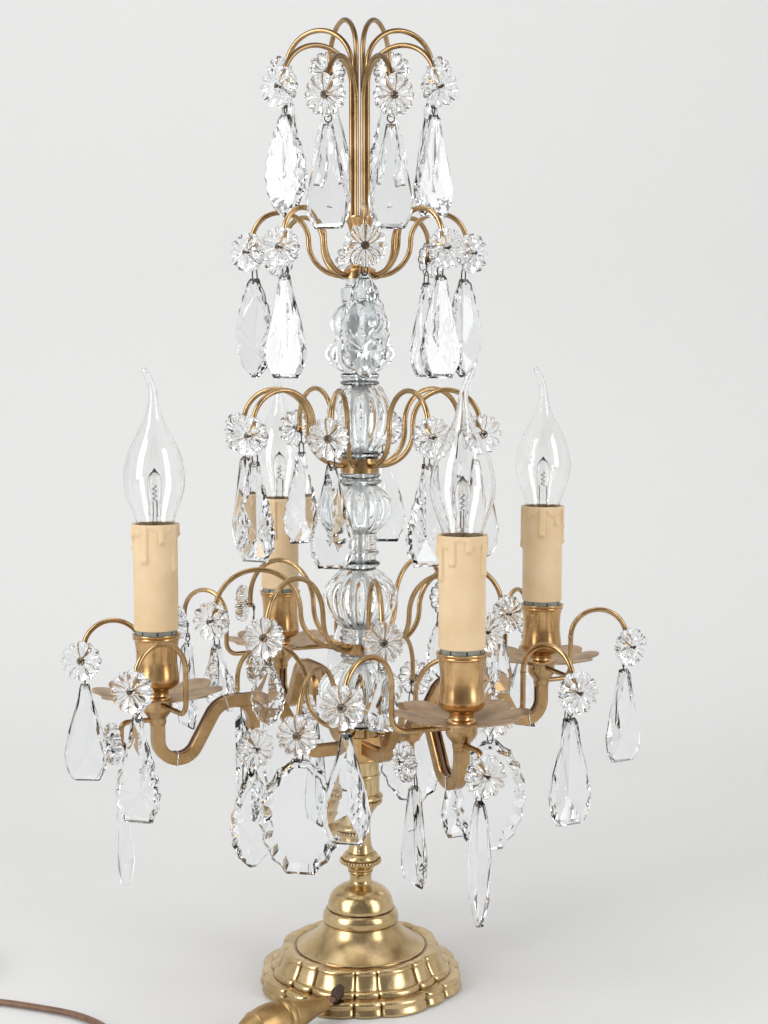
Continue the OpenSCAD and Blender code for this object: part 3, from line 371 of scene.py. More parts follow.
# smooth curve through points; a corner mark keeps the point before it sharp
def smoothLine(points, steps):
    runs = [[]]
    for p in points:
        if p is corner:
            runs.append([runs[-1][-1]])
        else:
            runs[-1].append(p)
    line = []
    for run in runs:
        n = len(run)
        for i in range(n - 1):
            a, b, c, d = run[max(i - 1, 0)], run[i], run[i + 1], run[min(i + 2, n - 1)]
            for s in range(steps):
                t = s / steps
                line.append(tuple(
                    0.5 * (2 * q + (r - p) * t + (2 * p - 5 * q + 4 * r - w) * t * t
                           + (3 * q - p - 3 * r + w) * t ** 3)
                    for p, q, r, w in zip(a, b, c, d)))
        line.append(run[-1])
    return [p for i, p in enumerate(line) if i == 0 or p != line[i - 1]]


# skin over rings of points; closed joins the last ring to the first, capped fills both ends
def loft(rings, closed=False, capped=True):
    n, rows = len(rings[0]), len(rings)
    faces = []
    for j in range(rows if closed else rows - 1):
        here, there = j * n, (j + 1) % rows * n
        faces += [(here + k, here + (k + 1) % n, there + (k + 1) % n, there + k) for k in range(n)]
    if capped and not closed:
        faces += [tuple(range(n))[::-1], tuple(range((rows - 1) * n, rows * n))]
    return [p for ring in rings for p in ring], faces


# turned body from (radius, height) points; shape(angle, radius) may flute it
def turnedBody(profile, sides, shape=None, closed=False):
    rings = []
    for r, z in profile:
        spokes = [(a, shape(a, r) if shape else r) for a in around(sides)]
        rings.append([(*polar(rr, a), z) for a, rr in spokes])
    return loft(rings, closed)


# band swept along a path in 3D; section points are (across, up)
def sweptBand(path, section, up=(0, 0, 1)):
    path = [Vector(p) for p in path]
    last = len(path) - 1
    rings = []
    for i, p in enumerate(path):
        d = (path[min(i + 1, last)] - path[max(i - 1, 0)]).normalized()
        side = Vector(up).cross(d).normalized()
        top = d.cross(side)
        rings.append([tuple(p + side * s[0] + top * s[1]) for s in section])
    return loft(rings)


# path in a plane: runs and turns, as (distance, height) points with headings
def tracePath(steps, x, z, heading, fine=4):
    line = [(x, z, heading)]
    for step in steps:
        h = radians(heading)
        if step[0] == "run":
            x, z = x + step[1] * cos(h), z + step[1] * sin(h)
            line.append((x, z, heading))
        else:
            count = max(1, math.ceil(abs(step[2]) / fine))
            r = math.copysign(step[1], step[2])
            x0, z0 = x, z
            for k in range(1, count + 1):
                a = radians(heading + step[2] * k / count)
                x, z = x0 + r * (sin(a) - sin(h)), z0 + r * (cos(h) - cos(a))
                line.append((x, z, heading + step[2] * k / count))
            heading += step[2]
    return line


# point beside and over a place on such a path
def overPath(place, side, up):
    x, z, heading = place
    h = radians(heading)
    return (x - up * sin(h), side, z + up * cos(h))


# section swept along such a path: (across, over the path)
def sweptInPlane(line, section):
    return loft([[overPath(place, side, up) for side, up in section] for place in line])


print("stage: geometry node trees")


def newTree(name, inputs):
    tree = bpy.data.node_groups.new(name, "GeometryNodeTree")
    tree.interface.new_socket(name="Geometry", in_out="INPUT", socket_type="NodeSocketGeometry")
    for label, kind in inputs.items():
        tree.interface.new_socket(name=label, in_out="INPUT", socket_type="NodeSocket" + kind)
    tree.interface.new_socket(name="Geometry", in_out="OUTPUT", socket_type="NodeSocketGeometry")
    return tree, addNode(tree, "NodeGroupInput").outputs


# adds one geometry node and gives its first output
def step(tree, kind, links, settings=None):
    return addNode(tree, "GeometryNode" + kind, settings, links).outputs[0]


def endTree(tree, geometry):
    addNode(tree, "NodeGroupOutput", None, {0: geometry})


# sets a shape on every point, turned by the points' own angles
hangTree, given = newTree("hangOnPoints", {"Shape": "Object", "Finish": "Material"})
shape = addNode(hangTree, "GeometryNodeObjectInfo", None, {"Object": given["Shape"]})
turn = step(hangTree, "InputNamedAttribute", None, {"data_type": "FLOAT_VECTOR", "Name": "turn"})
angle = addNode(hangTree, "FunctionNodeEulerToRotation", None, {0: turn})
hung = step(hangTree, "InstanceOnPoints", {
    "Points": given["Geometry"], "Instance": shape.outputs["Geometry"], "Rotation": angle.outputs[0]})
real = step(hangTree, "RealizeInstances", {0: hung})
endTree(hangTree, step(hangTree, "SetMaterial", {"Geometry": real, "Material": given["Finish"]}))

# round wire along the edges of a line mesh
wireTree, given = newTree("wireAlongLine", {"Radius": "Float", "Sides": "Int", "Finish": "Material"})
line = step(wireTree, "MeshToCurve", {0: given["Geometry"]})
ring = step(wireTree, "CurvePrimitiveCircle", {"Resolution": given["Sides"], "Radius": given["Radius"]})
drawn = step(wireTree, "CurveToMesh", {0: line, 1: ring}, {"Fill Caps": True})
real = step(wireTree, "RealizeInstances", {0: step(wireTree, "SetShadeSmooth", {0: drawn})})
endTree(wireTree, step(wireTree, "SetMaterial", {"Geometry": real, "Material": given["Finish"]}))

# row of beads round a collar
beadTree, given = newTree("beadRow", {
    "Count": "Int", "Ring": "Float", "Height": "Float", "Bead": "Float", "Finish": "Material"})
ring = step(beadTree, "MeshCircle", {"Vertices": given["Count"], "Radius": given["Ring"]})
lift = addNode(beadTree, "ShaderNodeCombineXYZ", None, {"Z": given["Height"]})
raised = step(beadTree, "Transform", {"Geometry": ring, "Translation": lift.outputs[0]})
bead = step(beadTree, "MeshUVSphere", {"Radius": given["Bead"]}, {"Segments": 12, "Rings": 9})
tall = step(beadTree, "Transform", {"Geometry": bead}, {"Scale": (1, 1, 1.6)})
smoothed = step(beadTree, "SetShadeSmooth", {0: tall})
coated = step(beadTree, "SetMaterial", {"Geometry": smoothed, "Material": given["Finish"]})
row = step(beadTree, "InstanceOnPoints", {"Points": raised, "Instance": coated})
endTree(beadTree, step(beadTree, "RealizeInstances", {0: row}))


# runs a tree on a mesh and keeps the result as a plain mesh
def grow(name, mesh, tree, values):
    seed = bpy.data.objects.new(name + "Seed", mesh)
    scene.collection.objects.link(seed)
    modifier = seed.modifiers.new("grow", "NODES")
    modifier.node_group = tree
    for item in tree.interface.items_tree:
        if item.item_type == "SOCKET" and item.in_out == "INPUT" and item.name in values:
            modifier[item.identifier] = values[item.name]
    seed.update_tag()
    bpy.context.view_layer.update()
    evaluated = seed.evaluated_get(bpy.context.evaluated_depsgraph_get())
    result = bpy.data.meshes.new_from_object(evaluated)
    result.name = name
    bpy.data.objects.remove(seed)
    piece = bpy.data.objects.new(name, result)
    scene.collection.objects.link(piece)
    return piece


# round wires along lines of points in millimetres
def drawWires(name, lines, radius, sides, finish):
    points, edges = [], []
    for line in lines:
        base = len(points)
        points += [Vector(p) * mm for p in line]
        edges += [(base + i, base + i + 1) for i in range(len(line) - 1)]
    mesh = bpy.data.meshes.new(name + "Lines")
    mesh.from_pydata(points, edges, [])
    return grow(name, mesh, wireTree, {"Radius": radius * mm, "Sides": sides, "Finish": finish})


# copies of a source at places, each a point in millimetres and a facing in degrees about the vertical
def hangCopies(name, places, source, finish):
    mesh = bpy.data.meshes.new(name + "Points")
    mesh.from_pydata([Vector(p) * mm for p, facing in places], [], [])
    attribute = mesh.attributes.new("turn", "FLOAT_VECTOR", "POINT")
    attribute.data.foreach_set("vector", [v for p, facing in places for v in (0.0, 0.0, radians(facing))])
    return grow(name, mesh, hangTree, {"Shape": source, "Finish": finish})


shapeShelf = []


# source shape for the trees, removed at the end
def shelve(name, points, faces, angle=None):
    piece = makePiece(name, points, faces, crystal, angle)
    shapeShelf.append(piece)
    return piece


print("stage: flex, switch and plug")

# brown flat twin flex: out of the foot, through the switch, across the floor to a tied coil
flexSet = {"width": 4.4, "exitTurn": 256, "exitReach": 56, "exitZ": 13, "switchTurn": 223, "switchLength": 58,
           "switchHead": (-26, -72, 12), "coilMid": (-272, 4), "coilRadius": 38, "coilTurns": 8.25,
           "coilDip": 1.2, "coilGap": 0.55, "coilLift": 1.2, "coilSteps": 36, "crossing": 0.25,
           "plugReach": 26, "sides": 20, "flatness": 0.78, "valley": 0.16, "closest": 0.4}
flexRadius = flexSet["width"] / 2
floorZ = flexRadius
coilPitch = flexSet["width"] + flexSet["coilGap"]
coilZ = flexRadius + flexSet["coilLift"]
exitWay = pointing(flexSet["exitTurn"])
switchWay = pointing(flexSet["switchTurn"])
flexExit = exitWay * flexSet["exitReach"] + Vector((0, 0, flexSet["exitZ"]))
switchHead = Vector(flexSet["switchHead"])
switchTail = switchHead + switchWay * flexSet["switchLength"]
leadIn = [tuple(flexExit), tuple(flexExit + 3 * exitWay), (-18.5, -65.5, 12.7),
          tuple(switchHead - 3 * switchWay), tuple(switchHead)]
across = [tuple(switchHead + switchWay * d) for d in (20, 40)]
flexRun = [tuple(switchTail), tuple(switchTail + 4 * switchWay), (-82, -121, 9.5), (-97, -126, 4.5),
           (-112, -122, floorZ), (-126, -108, floorZ), (-137, -88, floorZ), (-149, -70, floorZ),
           (-166, -56, floorZ), (-188, -46, floorZ), (-214, -37, floorZ), (-240, -34, 2.8),
           (-258, -34, coilZ), (-267, -34, coilZ)]


# spiral inwards on the floor, a step up at the middle turn, then outwards on top
def coilPoint(t):
    half, crossing = flexSet["coilTurns"] / 2, flexSet["crossing"]
    u = abs(t - half)
    r = flexSet["coilRadius"] - coilPitch * (half - max(u, crossing))
    if u < crossing:
        r -= flexSet["coilDip"] * max(0, cos(2 * pi * u))
    climb = min(max((t - (half - crossing)) / (2 * crossing), 0), 1)
    a = radians(270 - 360 * t)
    z = coilZ + coilPitch * (0.5 - 0.5 * cos(pi * climb))
    return (flexSet["coilMid"][0] + r * cos(a), flexSet["coilMid"][1] + r * sin(a), z)


coilSteps = flexSet["coilSteps"]
coilLine = [coilPoint(i / coilSteps) for i in range(int(flexSet["coilTurns"] * coilSteps) + 1)]
coilEnd = coilLine[-1]
plugAt = (coilEnd[0], coilEnd[1] + flexSet["plugReach"], coilEnd[2])
flexPath = smoothLine(leadIn, 4) + across + smoothLine(flexRun, 6) + coilLine
flexPath += [(coilEnd[0], coilEnd[1] + d, coilEnd[2]) for d in (4.4, 12, 19, flexSet["plugReach"])]
flexPath = [p for i, p in enumerate(flexPath)
            if i == 0 or (Vector(p) - Vector(flexPath[i - 1])).length > flexSet["closest"]]


# two round cores side by side with a shallow valley between them
def twinSection(half, height, valley, sides, lift=0):
    section = []
    for a in around(sides):
        lobe = 1 - valley * abs(sin(a)) ** 6
        section.append((half * cos(a), lift + height * sin(a) * lobe))
    return section


flexSection = twinSection(flexRadius, flexRadius * flexSet["flatness"], flexSet["valley"], flexSet["sides"])
flex = addPiece("flex", sweptBand(flexPath, flexSection), flexBrown, 60, "lamp", "flex",
                "cord_lead_in", "cord_run", "cord_coil")

# spun brass switch with ring grooves and a push bar through it
barAt = 30
switchProfile = smoothLine([
    (2.3, -9), (3.1, -9), corner, (3.6, -8.2), (4.3, -4), (5.4, 2), (7, 9), (8.7, 15.5), (9.4, 18), corner,
    (9.9, 19), (9.4, 20), corner, (10.6, 20.8), (11.8, 22), (12, 23.5), (11.8, 25), (10.8, 26.2), corner,
    (11.2, 28), (11.5, 32), (11.2, 37), (9.8, 44), corner, (10.0, 44.6), (9.4, 45.4), corner, (7.4, 50),
    (4.9, 54), corner, (4.9, 55.2), (4.3, 55.6), corner, (3.6, 58), corner, (2.3, 58)], 5)
switchShape = laid(turnedBody(switchProfile, 48), switchHead, flexSet["switchTurn"], "Y", 90)
switchShell = addPiece("switchShell", switchShape, switchBrass, 35, "lamp", "brass", "switch_shell")
barProfile = smoothLine([
    (0.4, -19), (1.9, -18.6), (2.5, -17.8), corner, (2.5, 11.8), corner, (1.9, 12.6), (0.4, 13)], 3)
barShape = laid(turnedBody(barProfile, 28), switchHead, flexSet["switchTurn"], "X", -90, barAt)
switchBar = addPiece("switchBar", barShape, barCream, 35, "switch_bar", "push_bar", "switch_bar")

# ribbed rubber bush at the foot
bushProfile = [(2.3, -12), (3.3, -12), (3.3, -1.4), (3.8, -1.2), (3.8, 0), (3.4, 0.2)]
ribSet = {"count": 4, "pitch": 2, "crest": 3.2, "crestTaper": 0.12, "valley": 2.9, "valleyTaper": 0.1}
for k in range(ribSet["count"]):
    crest = ribSet["crest"] - ribSet["crestTaper"] * k
    valley = ribSet["valley"] - ribSet["valleyTaper"] * k
    bushProfile += [(r, z + ribSet["pitch"] * k) for r, z in ((crest, 0.6), (valley, 1.2), (valley, 2.2))]
bushProfile += [(2.35, 8.6), (2.3, 8.6)]
bushShape = laid(turnedBody(bushProfile, 32), flexExit, flexSet["exitTurn"], "Y", 90)
addPiece("flexBush", bushShape, bushBrown, 35, "lamp", "bush", "cord_bush")

# flat two pin plug: rounded outline with a grip waist, levels as (height, share of the outline)
plugSet = {"length": 34, "middle": 17, "taper": 0.6, "pinApart": 19}
plugHalf = smoothLine([(4.5, 0), (4.5, 5), (8, 10), (14.2, 16), (14.9, 20), (14.6, 27), (14.9, 32.5),
                       (13.4, 34), corner, (0.0, 34)], 4)
plugOutline = plugHalf + [(-x, y) for x, y in reversed(plugHalf) if x > 0]
plugLevels = [(0.0, 0.86), (1.2, 0.96), (3.2, 1.0), (13.5, 1.0), (15.5, 0.96), (16.7, 0.86)]
plugRings = []
middleX, middleY = plugAt[0], plugAt[1] + plugSet["middle"]
for z, share in plugLevels:
    along = 1 - (1 - share) * plugSet["taper"]
    plugRings.append([(middleX + x * share, middleY + (y - plugSet["middle"]) * along, z)
                      for x, y in plugOutline])
plug = addPiece("plug", loft(plugRings), plugBrown, 40, "lamp", "plug", "plug_body")
pinShape = turnedBody(smoothLine([(0.3, 0), (2, 0), corner, (2, 17), corner, (1.6, 18.4), (0.3, 19)], 3), 24)
pinShapes = []
for s in (-1, 1):
    root = (plugAt[0] + s * plugSet["pinApart"] / 2, plugAt[1] + plugSet["length"], plugAt[2])
    pinShapes.append(laid(pinShape, root, 0, "X", -90))
plugPins = addPiece("plugPins", joinShapes(pinShapes), brass, 35, "lamp", "brass", "plug_pins")
paintNode("coil_tie", tieBlack)

print("stage: crystals")

# outlines as (share of half width, share of length from the top)
pearCut = [(0.2, 0.0), (0.34, 0.16), (0.8, 0.5), (1.0, 0.72), (0.9, 0.88), (0.6, 1.0)]
leafCut = [(0.2, 0.0), (0.6, 0.2), (1.0, 0.5), (0.9, 0.76), (0.45, 0.95), (0.15, 1.0)]
daggerCut = [(0.25, 0.0), (0.6, 0.14), (1.0, 0.45), (0.75, 0.8), (0.15, 1.0)]
plaqueCut = [(0.18, 0.0), (0.6, 0.12), (0.92, 0.33), (1.0, 0.57), (0.8, 0.82), (0.35, 1.0)]
hangSet = {"tailBack": 2.2, "linkDrop": 9.5, "ringDrop": 14.7, "rosetteAt": 1.9, "rosetteDepth": 7,
           "rosetteRadius": 12, "petals": 12, "pin": 0.4, "pinSides": 8, "head": 6.2, "eye": 1.3, "ring": 2.2}
# shares of a drop: insets of its width, places of its depth, ridge points of its depth and length
dropSet = {"depth": 10, "notches": 7, "dipAcross": 0.91, "dipAlong": 0.975, "middle": 0.56, "smallest": 0.15,
           "ridgedBack": -0.24, "flatBack": -0.5, "backInset": 0.12, "table": 0.4,
           "girdle": [(0.03, -0.12), (0, -0.05), (0, 0.08)], "bevel": 0.1, "mostBevel": 2.6,
           "ridge": [(-0.36, -0.16), (-0.5, -0.74)], "ridgeSplit": -0.4}


# outline with shallow dips at even steps along its edge
def scalloped(outline, width, length, notches):
    curve = smoothLine(outline, 8)
    spans = [0.0]
    for a, b in zip(curve, curve[1:]):
        spans.append(spans[-1] + hypot((b[0] - a[0]) * width / 2, (b[1] - a[1]) * length))
    edge = []
    for k in range(2 * notches + 1):
        want = spans[-1] * k / (2 * notches)
        i = max(j for j in range(len(curve)) if spans[j] <= want + 1e-9)
        i = min(i, len(curve) - 2)
        f = (want - spans[i]) / max(spans[i + 1] - spans[i], 1e-9)
        x, y = (curve[i][q] + (curve[i + 1][q] - curve[i][q]) * f for q in (0, 1))
        dipAcross, dipAlong = (dropSet["dipAcross"], dropSet["dipAlong"]) if k % 2 else (1.0, 1.0)
        edge.append((x * dipAcross, 0.5 + (y - 0.5) * dipAlong))
    return edge


# flat cut drop facing +X: thin girdle, bevelled table in front, deeper cut behind, with a ridge or flat
def cutDrop(outline, width, length, notches=0, ridged=True):
    depth = dropSet["depth"]
    right = scalloped(outline, width, length, notches) if notches else outline
    ring = [(-x * width / 2, -y * length) for x, y in right]
    ring += [(x * width / 2, -y * length) for x, y in reversed(right)]
    n = len(ring)

    def level(inset, x):
        middle = -length * dropSet["middle"]
        out = []
        for y, z in ring:
            k = max(dropSet["smallest"], 1 - inset / max(hypot(y, z - middle), 1e-6))
            out.append((x, y * k, middle + (z - middle) * k))
        return out

    back = dropSet["ridgedBack"] if ridged else dropSet["flatBack"]
    rings = [level(width * dropSet["backInset"], depth * back)]
    rings += [level(width * inset, depth * x) for inset, x in dropSet["girdle"]]
    bevel = min(dropSet["mostBevel"], width * dropSet["bevel"])
    rings.append(level(bevel, depth * dropSet["table"]))
    points, faces = loft(rings, capped=False)
    faces.append(tuple(range(len(points) - n, len(points))))
    if not ridged:
        faces.append(tuple(range(n))[::-1])
        return points, faces
    high, low = len(points), len(points) + 1
    points += [(depth * x, 0, length * z) for x, z in dropSet["ridge"]]
    near = [high if ring[k][1] > length * dropSet["ridgeSplit"] else low for k in range(n)]
    for k in range(n):
        b = (k + 1) % n
        faces.append((b, k, near[k]))
        if near[b] != near[k]:
            faces.append((b, near[k], near[b]))
    return points, faces


# rows of a rosette, from the boss over the petals to the back: share of radius, of depth, and of the valley
rosetteRows = [(0.12, 0.82, 0), (0.2, 0.68, 0), (0.32, 0.76, 0.16), (0.58, 0.98, 0.3), (0.82, 0.9, 0.34),
               (0.95, 0.72, 0.28), (1.0, 0.48, 0.2), (0.97, 0.2, 0.12), (0.7, 0.06, 0.08), (0.12, 0.0, 0)]
# dip at each step over one petal, and the notch that it cuts in the edge
petalDip = (0.0, 0.06, 0.36, 1.0, 0.36, 0.06)
edgeSet = {"notch": 0.15, "fullFrom": 0.55}


# pressed rosette facing +X: rounded petals with a hollow between each and a small boss for the pin
def cutRosette(radius, depth, petals):
    rings = []
    for share, x, valley in rosetteRows:
        ring = []
        for k, a in enumerate(around(petals * len(petalDip))):
            dip = petalDip[k % len(petalDip)]
            edge = 1 - edgeSet["notch"] * dip * (1 if share > edgeSet["fullFrom"] else share)
            ring.append((depth * (x - valley * dip), *polar(radius * share * edge, a)))
        rings.append(ring)
    points, faces = loft(rings, capped=False)
    n = len(rings[0])
    faces = [(a, d, c, b) for a, b, c, d in faces]
    return points, faces + [tuple(range(n)), tuple(range(len(points) - n, len(points)))[::-1]]


rosetteShape = cutRosette(hangSet["rosetteRadius"], hangSet["rosetteDepth"], hangSet["petals"])
rosetteSource = shelve("rosetteSource", *shifted(rosetteShape, (hangSet["rosetteAt"], 0, 0)), 40)
dropTop = (-hangSet["tailBack"], 0, -hangSet["ringDrop"])
notched = dropSet["notches"]
dropKinds = {
    "pear": (pearCut, 26, 58), "pearNotched": (pearCut, 26, 58, notched), "leaf": (leafCut, 28, 58, notched),
    "small": (pearCut, 20, 36), "smallLeaf": (leafCut, 20, 36, notched),
    "plaque": (plaqueCut, 48, 66, notched, False), "dagger": (daggerCut, 13, 68),
}
dropSources = {}
for kind, cut in dropKinds.items():
    dropSources[kind] = shelve(kind + "Source", *shifted(cutDrop(*cut), dropTop))

# bent steel pin: head in front of the rosette, shank through the wire's eye, a knot and an oval loop below
pinTop = -hangSet["tailBack"]
pinHead = hangSet["rosetteAt"] + hangSet["head"]
headRing = [(pinHead, *polar(0.9, a)) for a in around(10, 8)]
shank = [(pinHead, 0.3, 0), (hangSet["rosetteAt"] + 5, 0, 0), (0, 0, 0), (pinTop + 0.5, 0, 0),
         (pinTop, 0, -0.6), (pinTop, 0.1, -3), (pinTop, 0, -8.2)]
knotSet = {"radius": 0.9, "taper": 30, "top": -1.2, "pitch": 0.22, "step": 0.6, "points": 22}
knot = []
for t in [knotSet["step"] * k for k in range(knotSet["points"])]:
    x, y = polar(knotSet["radius"], t)
    thin = 1 - t / knotSet["taper"]
    knot.append((pinTop + x * thin, y * thin, knotSet["top"] - knotSet["pitch"] * t))
loopSet = {"lean": 0.3, "halfWidth": 1.7, "halfLength": 4.9, "middle": -12.8}
longLoop = [(pinTop + loopSet["lean"] * cos(a), loopSet["halfWidth"] * sin(a),
             loopSet["middle"] + loopSet["halfLength"] * cos(a)) for a in around(24, 25)]


def pinWires(name, lines):
    return drawWires(name, lines, hangSet["pin"], hangSet["pinSides"], wireSteel)


eyePin = pinWires("eyePinSource", [headRing + shank, knot])
loopPin = pinWires("loopPinSource", [headRing + shank, knot, longLoop])
shapeShelf += [eyePin, loopPin]

tierSet = {
    "upper": {"z": 428, "turn": 2.5, "tip": (63, 13), "twist": [-50, 0, 10, 0, 55, 20, 0, -20],
              "cuts": ("leaf", "pear")},
    "middle": {"z": 316.2, "turn": 32, "tip": (72, 19.3), "twist": [-30, 10, 0, 50, 35, 0, -10, -60],
               "cuts": ("pearNotched", "pear")},
    "lower": {"z": 206.7, "turn": 8, "tip": (87, 18.3), "twist": [-60, 0, 0, 30, 60, 25, 0, -30],
              "cuts": ("small", "smallLeaf")},
}
armSet = {"turn": 25, "reach": 127.4, "hubFlat": 12, "hubZ": 146, "start": 16, "slope": 60, "width": 7,
          "wall": 1.6, "soft": 0.5, "humpZ": 181.5, "troughZ": 151, "panZ": 186, "socketZ": 171.6}
armTurns = [armSet["turn"] + 90 * k for k in range(4)]
armBend = (12, 14, 13.5, 12)
steep = sin(radians(armSet["slope"]))
armUp = (armSet["humpZ"] - armSet["hubZ"] - (armBend[0] + armBend[1]) * 0.5) / steep
armDown = (armSet["humpZ"] - armSet["troughZ"] - (armBend[2] + armBend[3]) * 0.5) / steep
bendsX = sum(armBend) * steep + armBend[3]
armFlat = armSet["reach"] - armSet["hubFlat"] - armSet["start"] - bendsX - (armUp + armDown) * 0.5
humpX = armSet["reach"] - bendsX + (armBend[0] + armBend[1]) * steep - armDown * 0.5
spurSet = {"back": 2, "run": 3.5, "hang": 12, "half": 3.1, "low": -3.4, "high": 3.0, "wire": 1.2,
           "wireDrop": 10.6, "wireRise": 0.4}
spurX, spurEndZ = humpX - armBend[2], armSet["humpZ"] - armBend[2] - spurSet["run"]
lugSet = {"start": 3, "rise": 3.3, "run": 14.5, "bend": 4, "drop": 6, "eye": 1.5, "radius": 1.5, "sides": 14}
lugTip = (armSet["reach"] + lugSet["start"] + lugSet["run"] + lugSet["bend"], 0,
          armSet["socketZ"] + lugSet["rise"] - (lugSet["bend"] + lugSet["drop"]) - lugSet["eye"])


def hangGroup(name, places, source, finish, slotName, *replaced):
    return finishPiece(hangCopies(name, places, source, finish), "lamp", slotName, *replaced)


# rosettes and pins at places; they replace a node of the frame
def hangRosettes(group, places, pin, replaced):
    hangGroup(group + "Rosettes", places, rosetteSource, crystal, "crystal", replaced)
    hangGroup(group + "Pins", places, pin, wireSteel, "rod_steel")


def hangDrops(name, places, cut):
    hangGroup(name, places, dropSources[cut], crystal, "crystal")


for tier, info in tierSet.items():
    places = []
    for k in range(8):
        turn = info["turn"] + 45 * k
        tip = (info["tip"][0], 0, info["z"] + info["tip"][1])
        places.append((turned(tip, turn), turn + info["twist"][k]))
    hangRosettes(tier, places, loopPin, tier + "_pendants")
    for j, cut in enumerate(info["cuts"]):
        hangDrops(tier + "Drops" + "AB"[j], places[j::2], cut)

hookTip = (84, 0, 171.5)
hookTwist = {66: 0, 156: 30, 246: 15, 336: -45}
hookPlaces = [(turned(hookTip, turn), turn + twist) for turn, twist in hookTwist.items()]
hangRosettes("hook", hookPlaces, loopPin, "hook_pendants")
hangDrops("hookPlaques", hookPlaces, "plaque")

spurSide = (-1, 1, 1, -1)
spurEye = (spurX, 0, spurEndZ - spurSet["hang"])
spurPlaces = [(turned(spurEye, turn), turn + 90 * side) for turn, side in zip(armTurns, spurSide)]
lugPlaces = [(turned(lugTip, turn), turn) for turn in armTurns]
hangRosettes("arm", spurPlaces + lugPlaces, loopPin, "arm_pendants")
hangDrops("armPears", [spurPlaces[k] for k in (0, 1, 3)], "pear")
hangDrops("armLeaf", [spurPlaces[2]], "leaf")
hangDrops("armDaggers", lugPlaces, "dagger")

# swinging drops: each hangs on its own small ring from the eye under its rosette
crownSet = {"turn": 22.5, "radius": 47, "z": 565, "wave": 16, "drop": 25.5,
            "twist": [-60, 0, 0, 60, 40, 10, -10, -40]}
panHang = {"root": (-95, 95), "rootReach": 40, "reach": 34, "z": 204,
           "heading": [(-25, 35), (-35, 35), (-10, 20), (-70, 20)],
           "twist": [(-60, 0), (0, 60), (70, 30), (30, -20)]}
swinging = {"crown": [], "pan": []}
for k in range(8):
    turn = crownSet["turn"] + 45 * k
    z = crownSet["z"] + crownSet["wave"] * sin(radians(turn)) - crownSet["drop"]
    swinging["crown"].append((turned((crownSet["radius"], 0, z), turn), turn, crownSet["twist"][k]))
for k in range(4):
    for j in range(2):
        a, b = radians(panHang["root"][j]), radians(panHang["heading"][k][j])
        x = panHang["rootReach"] * cos(a) + panHang["reach"] * cos(b)
        y = panHang["rootReach"] * sin(a) + panHang["reach"] * sin(b)
        at = turned((armSet["reach"] + x, y, panHang["z"]), armTurns[k])
        swinging["pan"].append((at, armTurns[k] + panHang["heading"][k][j], panHang["twist"][k][j]))
eyeLine = [(hangSet["eye"] * sin(a), 0, -hangSet["linkDrop"] + hangSet["eye"] * cos(a))
           for a in around(16, 17)]
ringMiddle = -hangSet["linkDrop"] - hangSet["ring"]
ringLine = [(0, hangSet["ring"] * sin(a), ringMiddle + hangSet["ring"] * cos(a)) for a in around(24, 25)]
stalk = [(0, 0, -hangSet["linkDrop"] - 4.4), (0, 0, -hangSet["linkDrop"] - 8.0)]


# a line drawn under the tail of a rosette's pin, facing the way its joint swings
def underPin(line, at, heading, twist):
    base = turned((pinTop, 0, 0), heading + twist, at)
    return [turned(p, heading, base) for p in line]


for group, spots in swinging.items():
    hangRosettes(group, [(at, heading + twist) for at, heading, twist in spots], eyePin, group + "_rosettes")
    finishPiece(pinWires(group + "Eyes", [underPin(eyeLine, *spot) for spot in spots]), "lamp", "rod_steel")
swingCuts = {"crown_drop_2": "pearNotched", "crown_drop_5": "leaf",
             "pan_drop_3": "leaf", "pan_drop_6": "pearNotched"}
for group, spots in swinging.items():
    for number, (at, heading, twist) in enumerate(spots, 1):
        body = f"{group}_drop_{number}"
        source = dropSources[swingCuts.get(body, "pear")]
        drop = hangCopies(f"{group}Drop{number}", [(at, heading + twist)], source, crystal)
        finishPiece(drop, body, "crystal", body)
        ringWires = [underPin(line, at, heading, twist) for line in (ringLine, stalk)]
        finishPiece(pinWires(f"{group}Ring{number}", ringWires), body, "rod_steel")

print("stage: glass column")

# pressed glass balusters: gadrooned knops between narrow necks with small rings, bored for the rod
# knops as (start, end, radius, place of the widest), rings as (place, radius), places in shares of the height
columnSet = [
    {"name": "glass1", "z": 158, "h": 45.4, "neck": (8.8, 10.8), "knops": [(0.08, 0.9, 25.6, 0.5)],
     "rings": [(0.96, 12)], "flutes": 18},
    {"name": "glass2", "z": 210, "h": 44.4, "neck": (10.8, 9.6), "knops": [(0.2, 0.98, 22.4, 0.55)],
     "rings": [(0.05, 12.6), (0.14, 12)], "flutes": 18},
    {"name": "glass3", "z": 254.4, "h": 57.6, "neck": (9.4, 10.8), "knops": [(0.37, 0.87, 19.6, 0.55)],
     "rings": [(0.05, 12), (0.17, 11.4), (0.3, 10.8), (0.91, 13), (0.97, 12.4)], "flutes": 18},
    {"name": "glass4", "z": 320.4, "h": 46.6, "neck": (10.8, 9.8), "knops": [(0.1, 0.92, 19.8, 0.55)],
     "rings": [(0.05, 12.4), (0.96, 11.6)], "flutes": 18},
    {"name": "glass5", "z": 367, "h": 46, "neck": (10.4, 10.4),
     "knops": [(0.1, 0.56, 20.8, 0.5), (0.52, 0.97, 17.6, 0.42)], "rings": [(0.05, 11.6)], "flutes": 12},
    {"name": "glassCap", "z": 413, "h": 13, "neck": (10.8, 7.8), "knops": [(0.05, 0.6, 11.4, 0.5)],
     "rings": [], "flutes": 10},
]
glassSet = {"bore": 3.8, "steps": 72, "shortSteps": 24, "short": 20, "ringHalf": 1.3, "ringRise": 1.2,
            "fullSwell": 8, "valley": 0.1, "sidesPerFlute": 10}


